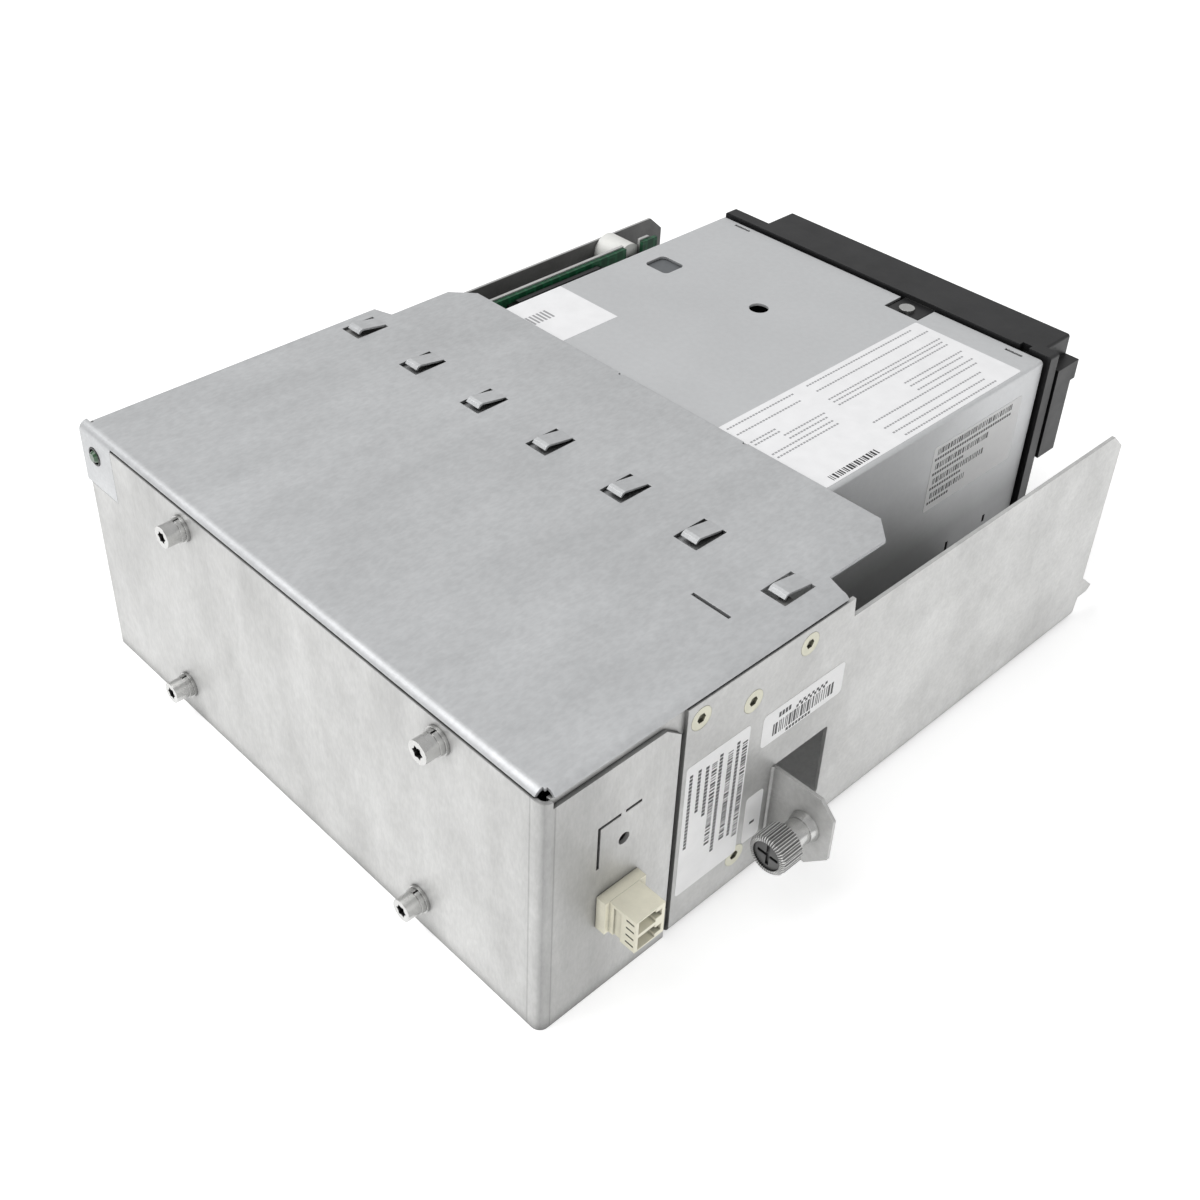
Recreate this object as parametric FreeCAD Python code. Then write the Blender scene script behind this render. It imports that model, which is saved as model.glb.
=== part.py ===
"""Tape drive in a library sled: a full-height cartridge drive carried in a bent-sheet tray.

Units are millimetres.  +X runs across the sled towards the side with the fibre port,
+Y runs forward to the cartridge slot, +Z is up.  The origin is the middle of the tray's
underside.  "Depth" always means the distance forward from the rear panel's outer face.
"""
import FreeCAD
import Part
import math
import os

# ---- sled sheet metal -------------------------------------------------------------------
SLED_W = 211.0            # over the side walls
SLED_D = 256.0            # rear panel's face to the walls' front edge
COVER_TOP = 87.0          # top of the cover above the tray's underside
SHEET = 1.2               # tray and rear panel
COVER_SHEET = 1.0
BEND = 2.4                # outer radius of the tray's bottom bends
PANEL_BEND = 3.0          # outer radius of the rear panel's corners
ROLL = 3.0                # outer radius of the cover's rolled edges
ROLL_ANGLE = 60.0
LAP = 0.1                 # gap between sheets that lap over each other
SEAM = 2.0                # open seam between the wrap's end and the side wall

WRAP_D = 46.5             # how far the rear panel wraps along each side
WRAP_TOP = 82.6
STEP_D = 114.5            # where the walls step down
RAIL_TOP = 78.0           # wall height ahead of the step
FLOOR_D = 252.8           # front edge of the tray floor

# ---- cover ------------------------------------------------------------------------------
COVER_SIDE_D = 112.0      # end of the cover's rolled side edges
COVER_D = 146.4           # front edge of the cover
COVER_INSET = 9.0         # how far the cover's front part stands in from the sides
FINGER_X = (-99.5, -68.7, -37.9, -6.9, 25.5, 55.3, 87.7)    # left side of each finger slot
FINGER_W = 8.8            # over the slots
FINGER_SLOT = 1.5
FINGER_REAR = 95.2        # rear edge of the opening
FINGER_END = 1.4          # from there to the tongue's free end
FINGER_ROOT = 108.0
FINGER_RISE = 1.8
LED_TAB_W = 18.0
LED_TAB_Z = 66.0
LED_X = -98.0
LED_Z = 78.0
LED_R = 2.5

# ---- window tab and captive screw ---------------------------------------------------------
WINDOW_D = (87.2, 111.3)
WINDOW_Z = (12.5, 39.4)
TAB_REACH = 22.3
KNOB_X = 13.6             # screw axis, out from the wall
KNOB_Z = 26.4
KNOB_R = 6.4
KNOB_FLUTES = 18
KNOB_BACK = (16.6, 8.7)   # the knob's face and back, behind the tab
KNOB_STROKE = 6.0
SCREW_R = 2.0             # thread
NECK_R = 1.3              # undercut that keeps the screw in its collar
CHAMBER_R = 3.3           # the spring's space in the collar
LIP_R = 1.9               # collar's lip: free on the neck, too small for the thread
KNOB_BORE = 4.7           # inside of the knurled sleeve, where the screw's head sits
HEAD_SINK = 0.6           # head's face below the sleeve's
HEAD_T = 1.3
COLLAR_R = 4.1
TAB_HOLE_R = 3.2
SCREW_END = 6.0           # threaded length ahead of the tab with the knob out
RUN = 0.05                # radial clearance of every running fit

# ---- fibre port ---------------------------------------------------------------------------
PORT_D = (20.3, 31.1)     # port body across, as depths
PORT_Z = (27.5, 39.2)
PORT_REACH = 12.8
PORT_FLANGE = 3.4
PORT_FLANGE_LIP = 1.4

# ---- rear fasteners -----------------------------------------------------------------------
REAR_SCREWS = ((-48.5, 78.5), (-59.0, 11.0), (67.5, 79.0), (57.0, 11.0))    # x, z
REAR_HEAD_R = 3.5
REAR_SHANK_R = 2.0
REAR_SEAT = 2.4           # washer and split washer under the heads

# ---- power supply behind the rear panel -------------------------------------------------------
PLATE_X = (-48.0, 60.0)   # its mounting plate
PLATE_Z_SPAN = (16.0, 74.0)
PLATE_T = 2.0
EAR_HALF = 5.0
SUPPLY_L = 44.0
SUPPLY_INSET = (6.0, 8.0, 1.0)      # case within the plate: left, right, top and bottom
TERMINALS = (72.0, 6.0, 10.0)       # length, depth and height

# ---- side screws: flat heads, depth and z -----------------------------------------------------
SIDE_SCREWS = ((53.7, 79.0), (96.3, 79.0))            # cover brackets
BRACKET_SCREWS = ((74.5, 71.8), (74.5, 12.5))         # drive's side bracket
CSK_R = 3.8
SIDE_SHANK_R = 1.5
SIDE_SHANK = 4.0
BRACKET_D = (67.0, 81.2)

# ---- interface board ----------------------------------------------------------------------
BOARD_T = 1.6
BOARD_GAP = 12.2          # between its inner face and the drive
BOARD_D = (62.0, 238.0)
BOARD_Z = (6.0, 80.0)
BOARD_FLANGE = 3.8        # board frame's bottom flange
SPACER_R = 6.5
SPACER_INSET = (12.5, 18.0)         # in from the board's front and rear ends
SPACER_Z = (73.0, 16.0)
NOTCH = (9.0, 6.0)        # width and depth of the notch over the front screw

# ---- tape drive: a full-height 5.25 inch unit ---------------------------------------------
DRIVE_W = 146.0
DRIVE_H = 82.5
DRIVE_X = -3.7            # middle of the drive
DRIVE_Z = 3.2             # underside of the drive
DRIVE_REAR = 59.5         # depths of its ends
DRIVE_FRONT = 263.5
CASE = 1.0                # case sheet
CASE_GAP = 1.7            # dark gap between the case and the bezel
CASE_LOW = 24.0           # lower edge of the case sides
WALL = 3.0                # cast base wall
DECK = (28.0, 31.0)       # cast deck, low and high
BASE_TOP = 60.0
FOOT_INSET = 3.15         # standard bottom holes, in from the drive's sides
FEET_D = (136.9, 216.1)
FOOT = 10.0
FOOT_SHANK_R = 1.5
FOOT_HEAD_R = 3.0
BOSS_R = 3.15             # bosses over those holes
TAB_X = (10.4, 23.4)      # bezel's tab on the case
TAB_SCREW = (16.5, 256.0)

# ---- bezel ---------------------------------------------------------------------------------
BEZEL_T = 5.1
BEZEL_TOP = 87.0
SHROUD_INSET = (16.9, 3.1)          # shroud, in from the drive's sides
SHROUD_REACH = 14.1
SHROUD_Z = 43.7
SLOT_X = 3.2              # middle of the cartridge slot
SLOT_W = 108.0
SLOT_Z = (56.0, 79.5)
BLOCK_W = 5.3             # side block beside the shroud
BLOCK_TOP = 79.5
BUTTON_INSET = (9.7, 1.9)           # button, in from the drive's right side
BUTTON_Z = (49.0, 59.0)
BUTTON_TRAVEL = 1.5
LENS_Z = (65.0, 72.0)
VENTS = 13
VENT_PITCH = 8.2
DOOR_BACK = 2.0           # door's pin behind the bezel plate
DOOR_Z = 81.9
DOOR_T = 1.4
DOOR_PIN_R = 0.8
DOOR_BARREL_R = 1.5

# ---- cartridge bay and loader ---------------------------------------------------------------
CARTRIDGE = (105.4, 102.0, 21.5)
BAY_CLEAR = 1.05          # each side of the cartridge
CARRIER_D = (152.0, 232.0)
CARRIER_Z = (55.2, 80.3)
CARRIER_T = 1.5
DROP = 8.0                # carrier travel
SLIDER_TRAVEL = 16.0      # twice the drop: the cam slots climb one in two
FRAME_D = (150.0, 236.0)
FRAME_TOP = 80.0
SLIDER_D = (148.0, 220.0)
SLIDER_Z = (33.0, 68.0)
LOADER_PINS = (168.0, 216.0)
PIN_Z = 62.0
PIN_R = 1.5
SIDE_GAP = 0.95           # gap between carrier, slider and frame sides
SIDE_T = 1.2

# ---- reels, rollers and head ----------------------------------------------------------------
CHUCK = (3.2, 203.0)      # x, depth
CHUCK_R = 19.0
CHUCK_TEETH = 12
REEL = (8.0, 104.0)
REEL_R = 38.0
HUB_R = 22.0
TAPE_Z = (51.0, 64.5)
MOTOR_TOP = 46.5
ROLLERS = ((-66.5, 155.0), (-66.5, 140.0), (-66.5, 96.0), (-50.0, 74.0))
ROLLER_R = 5.5
ROLLER_POST_R = 1.5
HEAD_D = (109.0, 127.0)
HEAD_X = (-58.8, -44.0)
ARM_PIVOT = (-26.0, 118.0)
ARM_R = 36.0
ARM_START = 126.6         # arm's angle at rest
PIVOT_R = 2.5
ARM_Z = (71.0, 74.0)
PLATE_Z = 76.0            # threader plate
PLATE_D = (62.0, 148.0)
PLATE_INSET = (6.0, 5.0)  # in from the drive's left and right sides
POST_INSET = (11.5, 9.5, 16.2)      # its posts: left, right and the one on the ear
POST_D = (65.5, 141.0, 147.5)
POST_R = 2.5
SPIGOT_R = 6.0            # motor's spigot in the deck
SHAFT_R = 3.0

HALF = SLED_W / 2.0
REAR = -SLED_D / 2.0
LID = COVER_TOP - COVER_SHEET            # underside of the cover
WALL_TOP = COVER_TOP - ROLL + (ROLL - COVER_SHEET) * math.cos(math.radians(ROLL_ANGLE)) - 0.2
DRIVE_L = DRIVE_X - DRIVE_W / 2.0
DRIVE_R = DRIVE_X + DRIVE_W / 2.0
DRIVE_TOP = DRIVE_Z + DRIVE_H
FRAME_Y = REAR + DRIVE_FRONT             # back of the bezel
FACE_Y = FRAME_Y + BEZEL_T               # front of its plate
SHROUD_Y = FACE_Y + SHROUD_REACH
DOOR_Y = FRAME_Y - DOOR_BACK             # door's pin
KNOB_D = [WINDOW_D[0] - back for back in KNOB_BACK]
FEET_X = DRIVE_W / 2.0 - FOOT_INSET
BOARD_X = DRIVE_L - BOARD_GAP            # interface board's inner face
SPACERS = tuple((depth, z) for depth in (BOARD_D[1] - SPACER_INSET[0], BOARD_D[0] + SPACER_INSET[1])
                for z in SPACER_Z)
SHROUD_X = (DRIVE_L + SHROUD_INSET[0], DRIVE_R - SHROUD_INSET[1])
BUTTON_X = (DRIVE_R - BUTTON_INSET[0], DRIVE_R - BUTTON_INSET[1])
PLATE_POSTS = ((DRIVE_L + POST_INSET[0], POST_D[0]), (DRIVE_R - POST_INSET[1], POST_D[0]),
               (DRIVE_R - POST_INSET[1], POST_D[1]), (DRIVE_L + POST_INSET[2], POST_D[2]))
TAB_LOW = DRIVE_TOP - 2.0                # bezel's tab on the case
TAB_TOP = DRIVE_TOP - 0.6
TAB_BACK = DOOR_Y - DOOR_BARREL_R - 0.5  # front end of the case's sunk pan


def at(x, y, z):
    return FreeCAD.Vector(x, y, z)


def block(x, y, z):
    """A box between the low and high value on each axis."""
    return Part.makeBox(x[1] - x[0], y[1] - y[0], z[1] - z[0], at(x[0], y[0], z[0]))


def rod(radius, start, end):
    """A solid cylinder from one point to another."""
    run = end - start
    return Part.makeCylinder(radius, run.Length, start, run)


def cone(r_start, r_end, start, end):
    run = end - start
    return Part.makeCone(r_start, r_end, run.Length, start, run)


def frustum(r_start, r_end, start, end):
    """An eight-sided taper for hidden fasteners and their holes, which keeps the mesh light."""
    run = end - start
    across = at(1, 0, 0) if abs(run.x) < run.Length / 2 else at(0, 1, 0)
    up = run.cross(across).normalize()
    rings = []
    for radius, middle in ((r_start, start), (r_end, end)):
        turns = [math.pi * i / 4 for i in range(8)]
        rings.append([middle + (across * math.cos(t) + up * math.sin(t)) * radius for t in turns])
    low, high = rings
    faces = [Part.Face(Part.makePolygon(ring + ring[:1])) for ring in rings]
    for i in range(8):
        j = (i + 1) % 8
        faces.append(Part.Face(Part.makePolygon([low[i], low[j], high[j], high[i], low[i]])))
    solid = Part.Solid(Part.Shell(faces))
    if solid.Volume < 0:
        solid.reverse()
    return solid


def spindle(radius, start, end):
    """An eight-sided bar or bore for a hidden shank."""
    return frustum(radius, radius, start, end)


def tube(outer, inner, start, end):
    return rod(outer, start, end).cut(rod(inner, start, end))


def join(*shapes):
    """One solid from pieces that touch or overlap."""
    return shapes[0].multiFuse(list(shapes[1:])).removeSplitter()


def group(shapes):
    """Separate solids kept in one node."""
    return Part.makeCompound(shapes)


def prism(plane, outline, low, high):
    """A prism over an outline in the named plane, between two heights on the third axis."""
    if plane == "yz":
        points = [at(low, a, b) for a, b in outline]
        run = at(high - low, 0, 0)
    elif plane == "xz":
        points = [at(a, low, b) for a, b in outline]
        run = at(0, high - low, 0)
    else:
        points = [at(a, b, low) for a, b in outline]
        run = at(0, 0, high - low)
    return Part.Face(Part.makePolygon(points + points[:1])).extrude(run)


def runs_along(edge, axis):
    """True for a straight edge that lies along the axis 0, 1 or 2."""
    if edge.Curve.TypeId != "Part::GeomLine":
        return False
    return abs(abs(edge.tangentAt(edge.FirstParameter)[axis]) - 1.0) < 1e-6


def soften(shape, radius, axis, wanted=None):
    """Round the straight edges along one axis, or those of them that are wanted."""
    edges = [e for e in shape.Edges if runs_along(e, axis)]
    if wanted:
        edges = [e for e in edges if wanted(e.CenterOfMass)]
    return shape.makeFillet(radius, edges)


def star(u, v, points, outer, inner):
    """Corners of a star outline about (u, v), which alternate between two radii."""
    corners = []
    for i in range(2 * points):
        radius = outer if i % 2 == 0 else inner
        angle = math.pi * i / points
        corners.append((u + radius * math.cos(angle), v + radius * math.sin(angle)))
    return corners


def hexagon(u, v, radius):
    return star(u, v, 3, radius, radius)


def mirrored(shape):
    """The same shape on the sled's other side."""
    return shape.mirror(at(0, 0, 0), at(1, 0, 0))


def save(node, shape):
    """Write one node's STEP file."""
    shape.exportStep("parts/" + node + ".step")


# ---- sled --------------------------------------------------------------------------------
def channel(half, y0, y1, bend):
    """A floor with two full-height walls and round bends, open at the top."""
    outer = block((-half, half), (y0, y1), (0, WALL_TOP))
    outer = soften(outer, bend, 1, lambda c: c.z < 1)
    inner = block((-half + SHEET, half - SHEET), (y0, y1), (SHEET, WALL_TOP + 1))
    inner = soften(inner, bend - SHEET, 1, lambda c: c.z < SHEET + 1)
    return outer.cut(inner)


def wall_outline():
    """Side view of the walls: full height at the back, a low rail in front, a guide tip."""
    tip = ((SLED_D, 16.8), (SLED_D + 7.8, 10.0), (SLED_D + 5.5, 8.2), (SLED_D, 8.1))
    nose = ((SLED_D - 1.0, 2.1), (SLED_D - 2.6, 0))
    rail = ((STEP_D, WALL_TOP + 1), (STEP_D + 0.8, RAIL_TOP), (SLED_D - 5.6, RAIL_TOP))
    corner = ((SLED_D + 0.7, RAIL_TOP - 5.8),)
    start = ((0, -1), (0, WALL_TOP + 1))
    outline = start + rail + corner + tip + nose + ((SLED_D - 2.6, -1),)
    return [(REAR + d, z) for d, z in outline]


def tray():
    """Floor, side walls with a joggle for the rear wrap, and the root of the screw's tab."""
    joggle = WRAP_D + SEAM
    inner_half = HALF - SHEET - LAP
    body = channel(HALF, REAR + joggle, REAR + SLED_D + 8, BEND)
    back = channel(inner_half, REAR + PANEL_BEND, REAR + joggle + SHEET, BEND)
    lip = block((-HALF + PANEL_BEND, HALF - PANEL_BEND), (REAR + SHEET + LAP, REAR + PANEL_BEND + 1),
                (0, SHEET))
    body = join(body, back, lip)
    step = block((inner_half - SHEET, HALF), (REAR + joggle, REAR + joggle + SHEET),
                 (BEND, WALL_TOP))
    body = join(body, step, mirrored(step))
    body = body.common(prism("yz", wall_outline(), -HALF - 1, HALF + 1))
    inside = (-HALF + SHEET + 1, HALF - SHEET - 1)
    body = body.cut(block(inside, (REAR + FLOOR_D, REAR + SLED_D + 9), (-1, 3)))

    window = block((HALF - 6, HALF + 1), [REAR + d for d in WINDOW_D], WINDOW_Z)
    body = body.cut(soften(window, 1.0, 0, lambda c: c.y > REAR + WINDOW_D[0] + 1))
    body = join(body, lanced_tab().common(wall_slab()))

    slot = block((inner_half - 2, HALF + 1), (REAR + WRAP_D, REAR + joggle), (9.5, 76.2))
    body = body.cut(group([slot, mirrored(slot)]))
    holes = [csk_hole(1, d, z) for d, z in SIDE_SCREWS + BRACKET_SCREWS]
    holes += [csk_hole(-1, d, z) for d, z in SIDE_SCREWS]
    holes += [csk_hole(-1, d, z) for d, z in SPACERS]
    for x, y in feet():
        holes.append(frustum(FOOT_HEAD_R + RUN, FOOT_SHANK_R + RUN, at(x, y, 0), at(x, y, SHEET)))
    behind_port = block((inner_half - 2, inner_half), (REAR + 17.0, REAR + 36.0), (25.0, 66.0))
    holes.append(behind_port)
    return body.cut(group(holes))


def lanced_tab():
    """The tab bent out of the window, with its bend and the collar's hole."""
    y = REAR + WINDOW_D[0]
    low, high = WINDOW_Z
    out = HALF + TAB_REACH
    outline = ((HALF - SHEET, low), (HALF + 15.0, low), (out, low + 7.0), (out, high - 5.0),
               (out - 5.0, high), (HALF - SHEET, high))
    tab = prism("xz", outline, y, y + SHEET)
    web = block((HALF - SHEET, HALF), (y - 1, y), WINDOW_Z)
    tab = join(tab, web)
    tab = soften(tab, 2.0, 2, lambda c: c.x < HALF - 1 and c.y > y + 1)
    tab = soften(tab, 0.8, 2, lambda c: abs(c.x - HALF) < 0.1 and abs(c.y - y) < 0.1)
    hole = rod(TAB_HOLE_R, at(HALF + KNOB_X, y - 2, KNOB_Z), at(HALF + KNOB_X, y + 4, KNOB_Z))
    return tab.cut(hole)


def wall_slab():
    """The thickness of the right wall round the window."""
    return block((HALF - 2 * SHEET, HALF), (REAR + WINDOW_D[0] - 5, REAR + WINDOW_D[1]), (0, RAIL_TOP))


def screw_tab():
    """The tab outside the wall: one sheet with it, kept apart so that its collision is true."""
    return lanced_tab().cut(wall_slab())


def csk_hole(side, depth, z):
    """A countersunk hole through a side wall."""
    outer = at(side * HALF, REAR + depth, z)
    inner = at(side * (HALF - SHEET), REAR + depth, z)
    return cone(CSK_R + RUN, SIDE_SHANK_R + RUN, outer, inner)


def csk_screw(side, depth, z):
    """A flat-head screw through a side wall, with a hexagon socket."""
    y = REAR + depth
    face = side * HALF
    neck = side * (HALF - SHEET)
    head = cone(CSK_R - RUN, SIDE_SHANK_R - RUN, at(face, y, z), at(neck, y, z))
    shank = spindle(SIDE_SHANK_R - RUN, at(neck, y, z), at(neck - side * SIDE_SHANK, y, z))
    socket = prism("yz", hexagon(y, z, 1.6), face - side * 0.9, face + side * 0.1)
    return join(head, shank).cut(socket)


def side_screws():
    """Every flat-head screw of the side walls."""
    right = [csk_screw(1, d, z) for d, z in SIDE_SCREWS + BRACKET_SCREWS]
    left = [csk_screw(-1, d, z) for d, z in SIDE_SCREWS + SPACERS]
    return group(right + left)


def top_cover():
    """Flat lid with rolled edges, a tab for the lamp, and seven lanced spring fingers."""
    flat_x = HALF - ROLL
    flat_y = REAR + ROLL
    side_y = REAR + COVER_SIDE_D
    front = REAR + COVER_D
    inset = HALF - COVER_INSET
    right = [(flat_x, flat_y), (flat_x, side_y), (inset, side_y + 2),
             (inset, front - 7.4), (inset - 7.5, front)]
    outline = right + [(-x, y) for x, y in reversed(right)]
    cover = prism("xy", outline, LID, COVER_TOP)

    rolls = []
    end = REAR + ROLL + 0.8
    side = [at(flat_x, end, LID), at(flat_x, side_y, LID),
            at(flat_x, side_y, COVER_TOP), at(flat_x, end, COVER_TOP)]
    face = Part.Face(Part.makePolygon(side + side[:1]))
    roll = face.revolve(at(flat_x, 0, COVER_TOP - ROLL), at(0, 1, 0), ROLL_ANGLE)
    rolls += [roll, mirrored(roll)]
    tab_x = (-HALF, -HALF + LED_TAB_W)
    for x, angle in (((tab_x[1], flat_x - 0.8), ROLL_ANGLE), (tab_x, 90.0)):
        back = [at(x[0], flat_y, LID), at(x[1], flat_y, LID),
                at(x[1], flat_y, COVER_TOP), at(x[0], flat_y, COVER_TOP)]
        face = Part.Face(Part.makePolygon(back + back[:1]))
        rolls.append(face.revolve(at(0, flat_y, COVER_TOP - ROLL), at(1, 0, 0), angle))
    tab = block(tab_x, (REAR, REAR + COVER_SHEET), (LED_TAB_Z + LAP, COVER_TOP - ROLL))
    cover = join(cover, *rolls, tab)
    hole = rod(LED_R + 0.7, at(LED_X, REAR - 1, LED_Z), at(LED_X, REAR + 3, LED_Z))
    cover = cover.cut(hole)

    for x in FINGER_X:
        cover = cover.cut(finger_slot(x))
        cover = join(cover, finger(x))
    slot = block((76.3, 89.9), (REAR + 80.0, REAR + 81.2), (LID - 1, COVER_TOP + 1))
    nicks = [block((x, x + 1.6), (front - 1.0, front + 1), (LID - 1, COVER_TOP + 1))
             for x in (-17.5, 36.5)]
    return cover.cut(group([slot] + nicks))


def finger_slot(x):
    """The U-shaped cut round one finger."""
    rear = REAR + FINGER_REAR
    root = REAR + FINGER_ROOT
    z = (LID - 1, COVER_TOP + 1)
    return block((x, x + FINGER_W), (rear, root), z)


def finger(x):
    """One tongue: rooted in front, rising to a crest and curling down at its free end."""
    root = REAR + FINGER_ROOT
    end = REAR + FINGER_REAR + FINGER_END
    crest = COVER_TOP + FINGER_RISE
    t = COVER_SHEET * 0.7
    side = ((root + 0.5, COVER_TOP), (end + 2.0, crest), (end + 0.8, crest - 0.3),
            (end, crest - 1.3), (end + 0.5, crest - 1.8), (end + 1.2, crest - 0.3 - t),
            (end + 2.0, crest - t), (root + 0.5, COVER_TOP - t))
    return prism("yz", side, x + FINGER_SLOT, x + FINGER_W - FINGER_SLOT)


def cover_brackets():
    """Four angles that fix the cover's underside to the side walls."""
    inner = HALF - SHEET
    angles = []
    for depth, z in SIDE_SCREWS:
        y = (REAR + depth - 3.9, REAR + depth + 3.9)
        leg = block((inner - 2 * SHEET, inner), y, (z - 4.0, LID - SHEET))
        foot = block((inner - 12.0, HALF - ROLL), y, (LID - SHEET - 0.5, LID))
        hole = spindle(SIDE_SHANK_R + RUN, at(inner + 1, REAR + depth, z), at(inner - 8, REAR + depth, z))
        angle = join(leg, foot).cut(hole)
        angles += [angle, mirrored(angle)]
    return group(angles)


def rear_panel():
    """Rear plate with wrapped sides, a knock-out blank and the fibre port's hole."""
    body = block((-HALF, HALF), (REAR, REAR + WRAP_D), (0, WALL_TOP))
    body = soften(body, PANEL_BEND, 2, lambda c: c.y < REAR + 1)
    hollow = block((-HALF + SHEET, HALF - SHEET), (REAR + SHEET, REAR + WRAP_D + 1),
                   (-1, WALL_TOP + 1))
    hollow = soften(hollow, PANEL_BEND - SHEET, 2, lambda c: c.y < REAR + SHEET + 1)
    body = body.cut(hollow)
    trim = prism("yz", [(REAR + PANEL_BEND, WALL_TOP + 1), (REAR + PANEL_BEND, WRAP_TOP),
                        (REAR + WRAP_D - 5.5, WRAP_TOP), (REAR + WRAP_D + 1, WRAP_TOP - 5.2),
                        (REAR + WRAP_D + 1, WALL_TOP + 1)], -HALF - 1, HALF + 1)
    body = body.cut(trim)
    notch = block((-HALF - 1, -HALF + LED_TAB_W + LAP), (REAR - 1, REAR + PANEL_BEND),
                  (LED_TAB_Z, WALL_TOP + 1))
    body = body.cut(notch)
    cuts = [spindle(REAR_SHANK_R + 0.25, at(x, REAR - 1, z), at(x, REAR + 3, z)) for x, z in REAR_SCREWS]
    wide = [REAR + PORT_D[0], REAR + PORT_D[1]]
    cuts.append(block((HALF - 3, HALF + 1), wide, PORT_Z))
    cuts += blank_cuts()
    return body.cut(group(cuts))


def blank_cuts():
    """Slits and a hole that leave the second port's knock-out plate in place."""
    y = (REAR + 19.3, REAR + 33.6)
    z = (49.5, 63.6)
    x = (HALF - 3, HALF + 1)
    side = block(x, (y[0] - 1.0, y[0]), (z[0], z[1] + 1.0))
    tie = 1.6
    middle = y[0] + 7.0
    left = block(x, (y[0], middle), (z[1], z[1] + 1.0))
    right = block(x, (middle + tie, y[1]), (z[1], z[1] + 1.0))
    hole = rod(1.9, at(HALF - 3, REAR + 27.8, 54.4), at(HALF + 1, REAR + 27.8, 54.4))
    return [side, left, right, hole]


def rear_screws():
    """Cap screws with a six-lobe recess and a captive split washer."""
    screws = []
    for x, z in REAR_SCREWS:
        seat = REAR - REAR_SEAT
        top = seat - 4.4
        split = rod(REAR_HEAD_R + 0.3, at(x, REAR - 1.0, z), at(x, seat, z))
        head = rod(REAR_HEAD_R, at(x, seat, z), at(x, top, z))
        recess = prism("xz", star(x, z, 6, 2.1, 1.5), top - 0.1, top + 2.2)
        shank = spindle(REAR_SHANK_R, at(x, REAR - 1.0, z), at(x, REAR + 7.0, z))
        gap = block((x - 0.3, x + 0.3), (seat, REAR - 1.0), (z + 3.0, z + 4.0))
        screws.append(join(split, head, shank).cut(group([recess, gap])))
    return group(screws)


def rear_washers():
    """Flat washers under the rear screws."""
    washers = []
    for x, z in REAR_SCREWS:
        disc = rod(4.3, at(x, REAR, z), at(x, REAR - 1.0, z))
        washers.append(disc.cut(spindle(REAR_SHANK_R + 0.15, at(x, REAR + 1, z), at(x, REAR - 2.0, z))))
    return group(washers)


def supply_bracket():
    """Plate behind the rear panel with four tapped ears, which the rear screws hold."""
    y = (REAR + SHEET, REAR + SHEET + PLATE_T)
    body = block(PLATE_X, y, PLATE_Z_SPAN)
    holes = []
    for x, z in REAR_SCREWS:
        root = PLATE_Z_SPAN[0] + 4.0 if z < SLED_W / 4 else PLATE_Z_SPAN[1] - 4.0
        span = (min(root, z - EAR_HALF), max(root, z + EAR_HALF))
        ear = block((x - EAR_HALF, x + EAR_HALF), y, span)
        arm = block((min(x, 0) - EAR_HALF, max(x, 0) + EAR_HALF), y, (root - EAR_HALF, root + EAR_HALF))
        nut = block((x - 4.0, x + 4.0), (y[0], y[1] + 4.0), (z - 4.0, z + 4.0))
        body = join(body, ear, arm, nut)
        holes.append(spindle(REAR_SHANK_R + RUN, at(x, y[0] - 1, z), at(x, REAR + 12, z)))
    return body.cut(group(holes))


def supply_span():
    """The converter's case: x and z ranges within its plate."""
    left, right, edge = SUPPLY_INSET
    return (PLATE_X[0] + left, PLATE_X[1] - right), (PLATE_Z_SPAN[0] + edge, PLATE_Z_SPAN[1] - edge)


def power_supply():
    """Enclosed converter on the bracket, vented on top."""
    x, z = supply_span()
    y0 = REAR + SHEET + PLATE_T
    case = block(x, (y0, y0 + SUPPLY_L), z)
    pitch = (x[1] - x[0] - 16.0) / 8
    vents = [block((x[0] + 8 + pitch * i, x[0] + 12 + pitch * i), (y0 + 8, y0 + SUPPLY_L - 8),
                   (z[1] - 1.0, z[1] + 1)) for i in range(8)]
    return case.cut(group(vents))


def supply_terminals():
    """Screw terminal strip on the converter's inner face."""
    x, z = supply_span()
    length, depth, height = TERMINALS
    y0 = REAR + SHEET + PLATE_T + SUPPLY_L
    left = (x[0] + x[1] - length) / 2
    low = z[0] + 7.0
    strip = block((left, left + length), (y0, y0 + depth), (low, low + height))
    pitch = length / 8
    pockets = [block((left + pitch * i + 1.5, left + pitch * (i + 1) - 1.5), (y0 + 2, y0 + depth + 1),
                     (low + 2, low + height - 2)) for i in range(8)]
    return strip.cut(group(pockets))


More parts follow.
